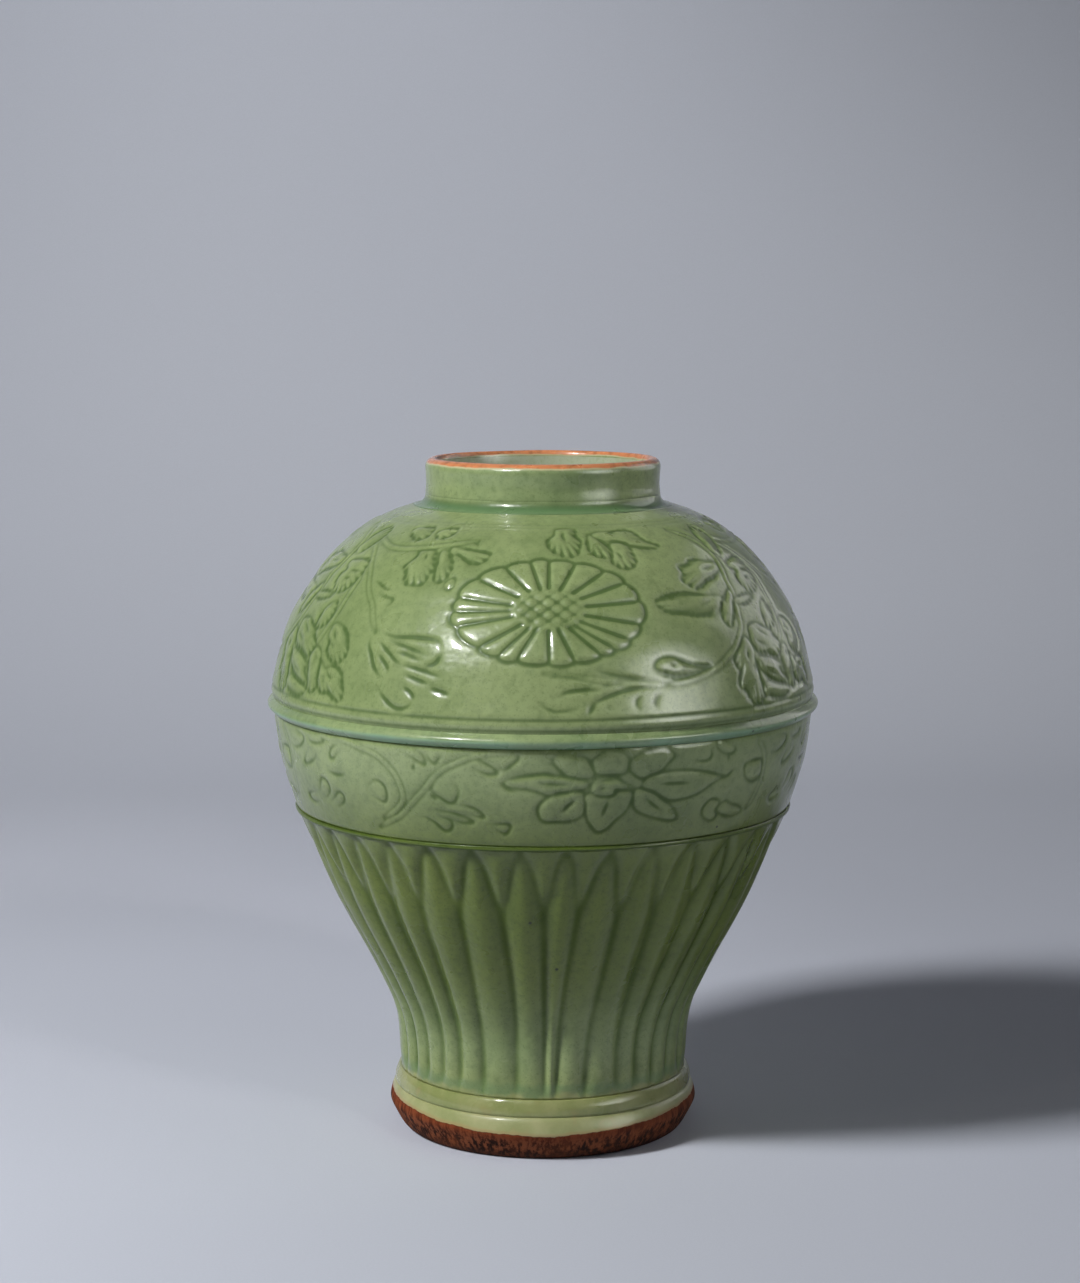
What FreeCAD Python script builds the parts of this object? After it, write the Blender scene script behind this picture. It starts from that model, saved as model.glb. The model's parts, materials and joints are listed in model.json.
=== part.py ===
import FreeCAD, Part
import math
import os
import Sketcher

# Carved celadon jar, thrown in sections that are luted end to end, each seam
# covered by an applied coil. Millimetres, +Z up, origin at the centre of the
# standing face, front towards -Y. Outer sizes include the glaze, which is fused
# to the clay.

SIZES = {
    # Heights of the sections, from the ground up
    "foot_ring_height": 21.5,
    "foot_bead_height": 7.9,
    "petal_wall_height": 130.3,
    "waist_string_height": 2.0,
    "belly_height": 46.5,
    "girdle_ridge_height": 6.8,
    "raised_band_height": 5.6,
    "border_groove_width": 1.6,
    "shoulder_height": 85.0,
    "neck_height": 22.8,
    # Radii of the jar
    "ankle_radius": 70.9,
    "waist_radius": 120.8,
    "girdle_radius": 131.8,
    "neck_radius": 57.2,
    "mouth_radius": 51.3,
    # Wall, and the slope of each luted seam from its outside to its inside
    "body_wall": 8.0,
    "scarf_rise": 2.0,
    # Foot ring
    "foot_spread": 4.8,
    "foot_tuck": 7.2,
    "foot_shrink": 2.4,
    "foot_flare_height": 13.2,
    "ledge_height": 12.0,
    "ledge_width": 6.5,
    "ledge_rise": 3.0,
    # Base dish and its seal
    "dish_thickness": 7.0,
    "dish_rim_thickness": 5.0,
    "dish_rim_width": 4.0,
    "dish_sag": 2.5,
    "dish_clearance": 0.9,
    "seal_climb": 2.6,
    # Applied bead over the foot seam
    "foot_bead_seat": 2.0,
    "foot_bead_swell": 2.6,
    # Carved petals
    "petal_relief": 1.8,
    "petal_root": 2.0,
    "petal_gap": 0.5,
    "petal_bottom_gap": 0.3,
    # Raised string at the waist
    "waist_seat": 1.0,
    "string_swell": 0.7,
    # Ridge over the girdle seam and the border above it
    "girdle_seat": 1.6,
    "ridge_underside": 0.3,
    "ridge_crest": 2.6,
    "ridge_top_step": 0.6,
    "raised_band_step": 0.5,
    "border_groove_depth": 0.9,
    # Neck and lip
    "neck_root_width": 6.3,
    "neck_root_height": 5.4,
    "lip_round_height": 4.6,
    "lip_round_width": 3.8,
    "mouth_round": 1.8,
}
PETAL_COUNT = 34

# In each curve a pair is a share of a section's height and a share of its change
# of radius. The first pair of an arc is where it passes, the second where it ends.
PETAL_WALL_SHARES = ((0.158, 0.020), (0.357, 0.192), (0.661, 0.602))
BELLY_SHARES = (0.480, 0.600)
SHOULDER_OUTSIDE_SHARES = (
    ((0.298, 0.097), (0.686, 0.387)),
    ((0.841, 0.593), (1.0, 1.0)),
)
SHOULDER_INSIDE_SHARES = ((0.32, 0.105), (0.62, 0.310), (0.82, 0.570), (0.927, 1.0))
FOOT_BEVEL_SHARES = ((0.27, 0.54), (0.71, 0.92))

# In each moulding a pair is a share of its height and a share of its swell.
BEAD_SHARES = ((0.0, 0.77), (0.30, 1.0), (0.72, 0.80))
RIDGE_SHARES = ((0.30, 0.88), (0.56, 1.0))
FILLET_SHARES = (0.36, 0.34)
LIP_SHARES = ((0.57, 0.24), (0.87, 0.58))
DISH_FLAT_SHARE = 0.5

# Each row is one cross-section of a petal, from its foot to its tip:
# share of the wall's height, share of its change of radius, then the petal's
# width and relief there as shares of a full pitch and of the full relief.
PETAL_SECTION_SHARES = (
    (0.000, 0.000, 1.00, 1.00),
    (0.158, 0.020, 1.00, 1.00),
    (0.357, 0.192, 1.00, 1.00),
    (0.700, 0.656, 0.98, 1.00),
    (0.795, 0.770, 0.85, 0.95),
    (0.872, 0.857, 0.61, 0.84),
    (0.940, 0.934, 0.34, 0.68),
    (0.983, 0.981, 0.07, 0.45),
)
PETAL_CROWN_SHARE = 0.55
PETAL_ROOT_SHARE = 0.88


class Measure:
    """A number together with the sheet formula that gives it."""

    def __init__(self, value, formula):
        self.value = value
        self.formula = formula

    def __add__(self, other):
        return Measure(self.value + other.value, f"({self.formula} + {other.formula})")

    def __sub__(self, other):
        return Measure(self.value - other.value, f"({self.formula} - {other.formula})")

    def __mul__(self, share):
        return Measure(self.value * share, f"({self.formula} * {share})")

    def times(self, other):
        return Measure(self.value * other.value, f"({self.formula} * {other.formula})")

    def over(self, other):
        return Measure(self.value / other.value, f"({self.formula} / {other.formula})")


doc = FreeCAD.newDocument("carved_jar")
sheet = doc.addObject("Spreadsheet::Sheet", "Sizes")


def fill_sheet():
    """Write every driving size into the sheet under its own alias."""
    rows = list(SIZES.items()) + [("petal_count", PETAL_COUNT)]
    for row, (name, value) in enumerate(rows, start=1):
        sheet.set(f"A{row}", name)
        sheet.set(f"B{row}", str(value))
        sheet.setAlias(f"B{row}", name)
    doc.recompute()


def size(name):
    return Measure(SIZES[name], f"Sizes.{name}")


def between(low, high, share):
    """The measure a share of the way from one measure to another."""
    return low + (high - low) * share


# Drawing


def straight(end):
    """A straight side of an outline."""
    return None, end


def curved(middle, end):
    """A side of an outline that is an arc through a middle place."""
    return middle, end


def as_vector(place):
    return FreeCAD.Vector(place[0].value, place[1].value, 0)


def pin(sketch, index, position, place):
    """Hold one point of a sketch at a place given by the sheet."""
    for kind, measure in zip(("DistanceX", "DistanceY"), place):
        rule = Sketcher.Constraint(kind, -1, 1, index, position, measure.value)
        number = sketch.addConstraint(rule)
        sketch.setExpression(f"Constraints[{number}]", measure.formula)


def turns_clockwise(start, middle, end):
    first = as_vector(middle) - as_vector(start)
    second = as_vector(end) - as_vector(middle)
    return first.x * second.y - first.y * second.x < 0


def draw_side(sketch, start, middle, end):
    """Add one side, and return its index with the positions of its two ends."""
    if middle is None:
        line = Part.LineSegment(as_vector(start), as_vector(end))
        return sketch.addGeometry(line, False), 1, 2
    if turns_clockwise(start, middle, end):
        arc = Part.Arc(as_vector(end), as_vector(middle), as_vector(start))
        first, last = 2, 1
    else:
        arc = Part.Arc(as_vector(start), as_vector(middle), as_vector(end))
        first, last = 1, 2
    index = sketch.addGeometry(arc, False)
    mark = sketch.addGeometry(Part.Point(as_vector(middle)), True)
    pin(sketch, mark, 1, middle)
    sketch.addConstraint(Sketcher.Constraint("PointOnObject", mark, 1, index))
    return index, first, last


def draw_outline(sketch, start, sides):
    """Draw a closed outline, whose last side runs straight back to the start."""
    drawn = []
    here = start
    for middle, end in sides + [straight(start)]:
        index, first, last = draw_side(sketch, here, middle, end)
        pin(sketch, index, first, here)
        drawn.append((index, first, last))
        here = end
    for this, following in zip(drawn, drawn[1:] + drawn[:1]):
        meet = Sketcher.Constraint("Coincident", this[0], this[2], following[0], following[1])
        sketch.addConstraint(meet)


def new_body(name):
    body = doc.addObject("PartDesign::Body", name)
    body.Label = name
    return body


def new_sketch(body, role, name):
    """A sketch on one of the body's own origin planes."""
    sketch = body.newObject("Sketcher::SketchObject", name)
    plane = next(item for item in body.Origin.OriginFeatures if item.Role == role)
    sketch.AttachmentSupport = (plane, [""])
    sketch.MapMode = "FlatFace"
    return sketch


def turn(name, start, sides):
    """A body thrown on the wheel: an outline turned once round the jar's axis."""
    body = new_body(name)
    sketch = new_sketch(body, "XZ_Plane", f"{name}_outline")
    draw_outline(sketch, start, sides)
    throw = body.newObject("PartDesign::Revolution", f"{name}_throw")
    throw.Profile = sketch
    throw.ReferenceAxis = (sketch, ["V_Axis"])
    throw.Angle = 360
    body.Tip = throw
    return body


# Heights and radii that pieces share

fill_sheet()
ground = Measure(0.0, "0")
axis = Measure(0.0, "0")
scarf = size("scarf_rise")
wall = size("body_wall")

foot_top = size("foot_ring_height")
bead_top = foot_top + size("foot_bead_height")
waist_low = bead_top + size("petal_wall_height")
waist_top = waist_low + size("waist_string_height")
ridge_low = waist_top + size("belly_height")
ridge_top = ridge_low + size("girdle_ridge_height")
band_top = ridge_top + size("raised_band_height")
shoulder_low = band_top + size("border_groove_width")
shoulder_top = shoulder_low + size("shoulder_height")
lip_top = shoulder_top + size("neck_height")

ankle = size("ankle_radius")
waist = size("waist_radius")
girdle = size("girdle_radius")
neck = size("neck_radius")
mouth = size("mouth_radius")
ankle_inside = ankle - wall
waist_inside = waist - wall
girdle_inside = girdle - wall
foot_seat = ankle - size("foot_bead_seat")
waist_seat = waist - size("waist_seat")
girdle_seat = girdle - size("girdle_seat")
bore = ankle_inside - size("ledge_width")
neck_root = neck + size("neck_root_width")


# Each seam lies midway behind the coil that covers it.
foot_seam = between(foot_top, bead_top, 0.5)
waist_seam = between(waist_low, waist_top, 0.5)
girdle_seam = between(ridge_low, ridge_top, 0.5)


def rising_place(low_radius, high_radius, low, high, shares):
    """A place on a curve, from shares of its rise and of its change of radius."""
    rise_share, radius_share = shares
    return between(low_radius, high_radius, radius_share), between(low, high, rise_share)


# Foot


def make_foot_ring():
    """The bare foot: a flared ring with a ledge inside that carries the base."""
    widest = ankle + size("foot_spread")
    edge = widest - size("foot_tuck")
    flare = size("foot_flare_height")
    ledge = size("ledge_height")
    sides = [straight((edge, ground))]
    for shares in FOOT_BEVEL_SHARES:
        sides.append(straight(rising_place(edge, widest, ground, flare, shares)))
    sides += [
        straight((widest, flare)),
        straight((widest - size("foot_shrink"), foot_top)),
        straight((foot_seat, foot_top)),
        straight((foot_seat, foot_seam)),
        straight((ankle_inside, foot_seam + scarf)),
        straight((ankle_inside, ledge + size("ledge_rise"))),
        straight((bore, ledge)),
    ]
    return turn("foot_ring", (bore, ground), sides)


def dish_edge():
    """The radius of the base dish, and the height where its edge meets the ledge."""
    run = size("ledge_width") - size("dish_clearance")
    climb = size("ledge_rise").times(run).over(size("ledge_width"))
    return ankle_inside - size("dish_clearance"), size("ledge_height") + climb


def make_base_dish():
    """The saucer-shaped base, lowered in from above and seated on the ledge."""
    radius, seat = dish_edge()
    rim_top = seat + size("dish_rim_thickness")
    ledge = size("ledge_height")
    low = ledge - size("dish_sag")
    high = low + size("dish_thickness")
    flat = bore * DISH_FLAT_SHARE
    return turn("base_dish", (axis, low), [
        straight((flat, low)),
        straight((bore, ledge)),
        straight((radius, seat)),
        straight((radius, rim_top)),
        straight((radius - size("dish_rim_width"), rim_top)),
        straight((flat, high)),
        straight((axis, high)),
    ])


def make_base_glaze_seal():
    """Glaze that ran into the gap round the base and bonds it to the foot."""
    radius, seat = dish_edge()
    rim_top = seat + size("dish_rim_thickness")
    return turn("base_glaze_seal", (radius, seat), [
        straight((ankle_inside, size("ledge_height") + size("ledge_rise"))),
        straight((ankle_inside, rim_top + size("seal_climb"))),
        straight((radius, rim_top)),
    ])


def make_foot_bead():
    """The rounded coil that covers the seam between foot ring and wall."""
    swell = size("foot_bead_swell")
    sides = []
    for shares in BEAD_SHARES:
        sides.append(straight(rising_place(ankle, ankle + swell, foot_top, bead_top, shares)))
    sides += [
        straight((ankle, bead_top)),
        straight((foot_seat, bead_top)),
    ]
    return turn("foot_bead", (foot_seat, foot_top), sides)


# Petal wall


def draw_petal_section(body, row):
    """One level cross-section of the petal that stands on the +Y side."""
    rise_share, radius_share, width_share, relief_share = PETAL_SECTION_SHARES[row]
    foot = bead_top + size("petal_bottom_gap")
    height = between(foot, waist_low, rise_share)
    full_relief = size("petal_relief")
    valley = between(ankle, waist, radius_share) - full_relief
    crest = valley + full_relief * relief_share
    half_pitch = Measure(math.sin(math.pi / PETAL_COUNT), "sin(180 deg / Sizes.petal_count)")
    side = (crest.times(half_pitch) - size("petal_gap") * 0.5) * width_share
    crown_side = side * PETAL_CROWN_SHARE
    root_side = side * PETAL_ROOT_SHARE
    root = valley - size("petal_root")
    sketch = new_sketch(body, "XY_Plane", f"petal_section_{row}")
    sketch.AttachmentOffset = FreeCAD.Placement(
        FreeCAD.Vector(0, 0, height.value), FreeCAD.Rotation()
    )
    sketch.setExpression(".AttachmentOffset.Base.z", height.formula)
    draw_outline(sketch, (axis - root_side, root), [
        straight((axis - side, valley)),
        straight((axis - crown_side, crest)),
        straight((crown_side, crest)),
        straight((side, valley)),
        straight((root_side, root)),
    ])
    return sketch


def make_petal_wall():
    """The lower wall, with a ring of upright petals standing proud of it."""
    relief = size("petal_relief")
    low_mid, knee, high_mid = PETAL_WALL_SHARES

    def on_ground(shares):
        return rising_place(ankle - relief, waist - relief, bead_top, waist_low, shares)

    def on_inside(shares):
        return rising_place(ankle_inside, waist_inside, bead_top, waist_low, shares)

    body = turn("petal_wall", (foot_seat, foot_seam), [
        straight((foot_seat, bead_top)),
        straight((ankle - relief, bead_top)),
        curved(on_ground(low_mid), on_ground(knee)),
        curved(on_ground(high_mid), (waist - relief, waist_low)),
        straight((waist_seat, waist_low)),
        straight((waist_seat, waist_seam)),
        straight((waist_inside, waist_seam + scarf)),
        straight(on_inside(knee)),
        straight(on_inside(low_mid)),
        straight((ankle_inside, foot_seam + scarf)),
    ])
    sections = [draw_petal_section(body, row) for row in range(len(PETAL_SECTION_SHARES))]
    petal = body.newObject("PartDesign::AdditiveLoft", "petal")
    petal.Profile = sections[0]
    petal.Sections = sections[1:]
    petal.Ruled = True
    petal.Refine = False
    ring = body.newObject("PartDesign::PolarPattern", "petal_ring")
    ring.Originals = [petal]
    ring.Axis = (sections[0], ["N_Axis"])
    ring.Angle = 360
    ring.Occurrences = PETAL_COUNT
    ring.setExpression("Occurrences", "Sizes.petal_count")
    ring.Refine = False
    body.Tip = ring
    body.Placement.Rotation = FreeCAD.Rotation(FreeCAD.Vector(0, 0, 1), 180 / PETAL_COUNT)
    body.setExpression("Placement.Rotation.Angle", "180 deg / Sizes.petal_count")
    return body


# Waist, belly and girdle


def make_waist_string():
    """The thin coil over the waist seam, pinched to a raised string."""
    crest = (waist + size("string_swell"), between(waist_low, waist_top, 0.5))
    return turn("waist_string", (waist_seat, waist_low), [
        straight(crest),
        straight((waist_seat, waist_top)),
    ])


def make_belly_band():
    """The section between waist and girdle, with seats for string and ridge."""
    outside = rising_place(waist, girdle, waist_top, ridge_low, BELLY_SHARES)
    return turn("belly_band", (waist_seat, waist_seam), [
        straight((waist_seat, waist_top)),
        straight((waist, waist_top)),
        curved(outside, (girdle, ridge_low)),
        straight((girdle_seat, ridge_low)),
        straight((girdle_seat, girdle_seam)),
        straight((girdle_inside, girdle_seam + scarf)),
        straight((waist_inside, waist_seam + scarf)),
    ])


def make_girdle_coil():
    """The applied ridge round the girdle, seated over the seam."""
    crest = girdle + size("ridge_crest")
    sides = [straight((girdle + size("ridge_underside"), ridge_low))]
    for shares in RIDGE_SHARES:
        sides.append(straight(rising_place(girdle, crest, ridge_low, ridge_top, shares)))
    sides += [
        straight((girdle + size("ridge_top_step"), ridge_top)),
        straight((girdle_seat, ridge_top)),
    ]
    return turn("girdle_coil", (girdle_seat, ridge_low), sides)


# Shoulder and neck


def make_shoulder_dome():
    """The shoulder, with its border band and groove, up to the rim under the neck."""
    band = girdle + size("raised_band_step")
    field = between(band, girdle, 0.5)

    def outside(shares):
        return rising_place(field, neck_root, shoulder_low, shoulder_top, shares)

    def inside(shares):
        return rising_place(girdle_inside, mouth, shoulder_low, shoulder_top, shares)

    sides = [
        straight((girdle_seat, ridge_top)),
        straight((band, ridge_top)),
        straight((band, band_top)),
        straight((band - size("border_groove_depth"), between(band_top, shoulder_low, 0.5))),
        straight((field, shoulder_low)),
    ]
    for middle, end in SHOULDER_OUTSIDE_SHARES:
        sides.append(curved(outside(middle), outside(end)))
    sides.append(straight((mouth, shoulder_top)))
    for shares in reversed(SHOULDER_INSIDE_SHARES):
        sides.append(straight(inside(shares)))
    sides.append(straight((girdle_inside, girdle_seam + scarf)))
    return turn("shoulder_dome", (girdle_seat, girdle_seam), sides)


def make_neck_fillet():
    """The coil in the corner round the neck's root, smoothed hollow."""
    top = shoulder_top + size("neck_root_height")
    hollow = rising_place(neck, neck_root, shoulder_top, top, FILLET_SHARES)
    return turn("neck_fillet", (neck, shoulder_top), [
        straight((neck_root, shoulder_top)),
        straight(hollow),
        straight((neck, top)),
    ])


def make_neck_collar():
    """The short upright neck with its rounded lip."""
    round_low = lip_top - size("lip_round_height")
    round_inside = neck - size("lip_round_width")
    mouth_round = size("mouth_round")
    sides = [
        straight((neck, shoulder_top)),
        straight((neck, round_low)),
    ]
    for shares in LIP_SHARES:
        sides.append(straight(rising_place(neck, round_inside, round_low, lip_top, shares)))
    sides += [
        straight((round_inside, lip_top)),
        straight((mouth + mouth_round, lip_top)),
        straight((mouth, lip_top - mouth_round)),
    ]
    return turn("neck_collar", (mouth, shoulder_top), sides)


def check(bodies):
    """Stop unless every object recomputed and every piece is one valid solid."""
    for item in doc.Objects:
        if "Invalid" in item.State or "Error" in item.State:
            raise RuntimeError(f"{item.Name} failed: {item.State}")
    for body in bodies:
        shape = body.Shape
        if shape.isNull() or not shape.isValid() or len(shape.Solids) != 1:
            raise RuntimeError(f"{body.Label} isn't one valid solid")


def main():
    bodies = [
        make_foot_ring(),
        make_base_dish(),
        make_base_glaze_seal(),
        make_foot_bead(),
        make_petal_wall(),
        make_waist_string(),
        make_belly_band(),
        make_girdle_coil(),
        make_shoulder_dome(),
        make_neck_fillet(),
        make_neck_collar(),
    ]
    doc.recompute()
    check(bodies)
    os.makedirs("parts", exist_ok=True)
    for body in bodies:
        body.Shape.exportStep(f"parts/{body.Label}.step")
        print(f"{body.Label}: {body.Shape.Volume:.0f} mm3")


main()
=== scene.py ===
import json
import math

import bmesh
import bpy
import numpy as np
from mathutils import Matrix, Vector


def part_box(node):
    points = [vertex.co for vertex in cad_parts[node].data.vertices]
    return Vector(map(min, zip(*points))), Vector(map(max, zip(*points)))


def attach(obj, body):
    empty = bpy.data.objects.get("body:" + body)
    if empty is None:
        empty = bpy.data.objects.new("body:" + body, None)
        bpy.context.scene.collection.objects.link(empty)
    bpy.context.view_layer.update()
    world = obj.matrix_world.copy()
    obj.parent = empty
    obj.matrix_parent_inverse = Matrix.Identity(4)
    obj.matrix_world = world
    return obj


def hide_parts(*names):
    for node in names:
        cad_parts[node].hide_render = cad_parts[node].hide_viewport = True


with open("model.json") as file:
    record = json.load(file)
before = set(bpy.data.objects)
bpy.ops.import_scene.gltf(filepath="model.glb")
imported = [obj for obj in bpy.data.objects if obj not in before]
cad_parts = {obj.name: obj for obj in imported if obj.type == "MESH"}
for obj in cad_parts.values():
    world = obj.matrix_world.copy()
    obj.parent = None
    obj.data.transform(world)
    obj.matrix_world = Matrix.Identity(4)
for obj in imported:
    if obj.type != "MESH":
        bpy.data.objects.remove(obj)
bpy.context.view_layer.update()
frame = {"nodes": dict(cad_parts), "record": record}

bl_info = {
    "name": "Carved Celadon Vase",
    "version": (1, 0, 0),
    "blender": (4, 5, 0),
    "location": "View3D > Sidebar > Vase",
    "description": "Glazed shells with carved relief, a bare clay foot and a soft studio stage",
    "category": "Add Mesh",
}

MM = 0.001
REPEATS = 3
PETALS = 34

# Points round each shell, and the distance between the rows of a carved one.
CARVED_COLUMNS = 1320
PETAL_COLUMNS = PETALS * 26
COIL_COLUMNS = 960
BEAD_COLUMNS = 720
NECK_COLUMNS = 600
FOOT_COLUMNS = 480
ROW_STEP = 0.62 * MM


def widest(node):
    """The greatest radius of a node of the frame."""
    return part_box(node)[1].x


def level(node, top=False):
    """The lowest or highest level of a node of the frame."""
    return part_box(node)[1 if top else 0].z


# Levels and radii of the outer face, from the frame.
BEAD_TOP = level("foot_bead", top=True)
WAIST_LOW = level("waist_string")
WAIST_TOP = level("waist_string", top=True)
RIDGE_LOW = level("girdle_coil")
RIDGE_TOP = level("girdle_coil", top=True)
SHOULDER_TOP = level("shoulder_dome", top=True)
FILLET_TOP = level("neck_fillet", top=True)
LIP = level("neck_collar", top=True)
FOOT = widest("foot_ring")
ANKLE = widest("foot_bead") - 2.6 * MM
WAIST = widest("waist_string") - 0.7 * MM
GIRDLE = widest("girdle_coil") - 2.6 * MM
FIELD = GIRDLE + 0.25 * MM
NECK = widest("neck_collar")
NECK_ROOT = widest("neck_fillet")
MOUTH_BORE = next(mount for mount in frame["record"]["mounts"] if mount["name"] == "mouth_bore")
MOUTH = MOUTH_BORE["dims"]["r_mm"] * MM

# Levels that the frame doesn't give: the carved borders, and the seams where the walls meet.
FOOT_TOP = 21.5 * MM
BAND_TOP = 220.6 * MM
BORDER = 221 * MM
FIELD_LOW = 222.2 * MM
FOOT_SEAM = 25.45 * MM
FOOT_SEAM_INSIDE = 27.45 * MM
GIRDLE_SEAM = 211 * MM
BELLY_INSIDE_TOP = 211.6 * MM
SHOULDER_INSIDE_LOW = 213.6 * MM
NECK_CORNER = 301 * MM

# Radii of the inner faces.
STAND = 57.6 * MM
SEAT = ANKLE - 2 * MM
ANKLE_INSIDE = ANKLE - 6.6 * MM
GIRDLE_SEAT = GIRDLE - 2.4 * MM

# Each pair is a share of a wall's height and of its change of radius.
PETAL_WALL_SHARES = [
    (0, 0), (0.154, 0.02), (0.256, 0.076), (0.357, 0.19), (0.458, 0.319),
    (0.66, 0.597), (0.862, 0.838), (1, 1),
]
PETAL_WALL_INSIDE = [(0, 0), (0.3, 0.13), (0.6, 0.52), (1, 1)]
BELLY_SHARES = [(0, 0), (0.28, 0.39), (0.57, 0.74), (1, 1)]
SHOULDER_SHARES = [
    (0, 0), (0.298, 0.097), (0.49, 0.216), (0.686, 0.387), (0.841, 0.593), (0.939, 0.794), (1, 1),
]
SHOULDER_INSIDE = [(0, 0), (0.32, 0.105), (0.62, 0.31), (0.82, 0.57), (0.927, 1)]


# Curves and fields.

def spline(points, closed=False, steps=7):
    """A smooth line through the points, as an array of places."""
    points = np.array(points, float)
    if closed:
        before = np.roll(points, 1, 0)
        after = np.roll(points, -1, 0)
        second = np.roll(points, -2, 0)
    else:
        padded = np.vstack([2 * points[0] - points[1], points, 2 * points[-1] - points[-2]])
        before = padded[:-3]
        points = padded[1:-2]
        after = padded[2:-1]
        second = padded[3:]
    line = []
    for t in np.linspace(0, 1, steps, endpoint=False):
        line.append(0.5 * (
            2 * points
            + (after - before) * t
            + (2 * before - 5 * points + 4 * after - second) * t ** 2
            + (3 * points - before - 3 * after + second) * t ** 3
        ))
    line = np.stack(line, 1).reshape(-1, 2)
    end = line[:1] if closed else after[-1:]
    return np.vstack([line, end])


def wall(shares, low, high, start, end):
    """A smooth outline between two levels, as radius and height, that follows the shares."""
    line = spline([(s[1], s[0]) for s in shares], steps=24)
    return np.column_stack([start + (end - start) * line[:, 0], low + (high - low) * line[:, 1]])


def passed(line):
    """How far along a line each of its points lies."""
    return np.concatenate([[0], np.cumsum(np.hypot(*np.diff(line, axis=0).T))])


def even(outline, step):
    """The same outline with points at even distances along it."""
    along = passed(outline)
    places = np.linspace(0, along[-1], max(2, int(round(along[-1] / step)) + 1))
    return np.column_stack([np.interp(places, along, outline[:, k]) for k in (0, 1)])


def ramp(value, start, end):
    """How far a value has gone from start to end, from 0 to 1."""
    return np.clip((value - start) / (end - start), 0, 1)


def bell(gap, width, power=2):
    """1 where the gap is none, falling to nothing past the width."""
    return np.exp(-(np.abs(gap) / width) ** power)


def uneven(rows, columns, seed, waves=5):
    """Slow hand-made unevenness round and up a wall, between about -1 and 1."""
    random = np.random.default_rng(seed)
    turn = np.linspace(0, 2 * math.pi, columns, endpoint=False)[None, :]
    climb = np.linspace(0, 1, rows)[:, None]
    total = np.zeros((rows, columns))
    for count in range(waves):
        around = random.integers(1, 9)
        up = random.uniform(-2.5, 2.5)
        total += np.sin(around * turn + up * climb * math.pi + random.uniform(0, 6.3)) / (1 + 0.4 * count)
    return total / 2.2


def soften(field, passes):
    """The field with the small bumps evened out, as thick glaze does."""
    field = field.copy()
    for _ in range(passes):
        field = (np.roll(field, 1, 1) + 2 * field + np.roll(field, -1, 1)) / 4
        field[1:-1] = (field[2:] + 2 * field[1:-1] + field[:-2]) / 4
    return field


def distance(places, line):
    """How far each place is from a line, and how far along the line its nearest point lies."""
    across, up = places
    nearest = np.full(across.shape, np.inf)
    along = np.zeros(across.shape)
    done = passed(line)
    total = max(done[-1], 1e-9)
    for start, end, before, after in zip(line[:-1], line[1:], done[:-1], done[1:]):
        step = end - start
        square = max(step @ step, 1e-12)
        share = np.clip(((across - start[0]) * step[0] + (up - start[1]) * step[1]) / square, 0, 1)
        away = np.hypot(across - start[0] - share * step[0], up - start[1] - share * step[1])
        closer = away < nearest
        nearest = np.where(closer, away, nearest)
        along = np.where(closer, (before + share * (after - before)) / total, along)
    return nearest, along


def inside(places, line):
    """Which places lie within a closed line."""
    across, up = places
    within = np.zeros(across.shape, bool)
    for start, end in zip(line[:-1], line[1:]):
        if start[1] == end[1]:
            continue
        crosses = (start[1] > up) != (end[1] > up)
        where = start[0] + (up - start[1]) * (end[0] - start[0]) / (end[1] - start[1])
        within ^= crosses & (across < where)
    return within


# Carved skins.

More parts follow.
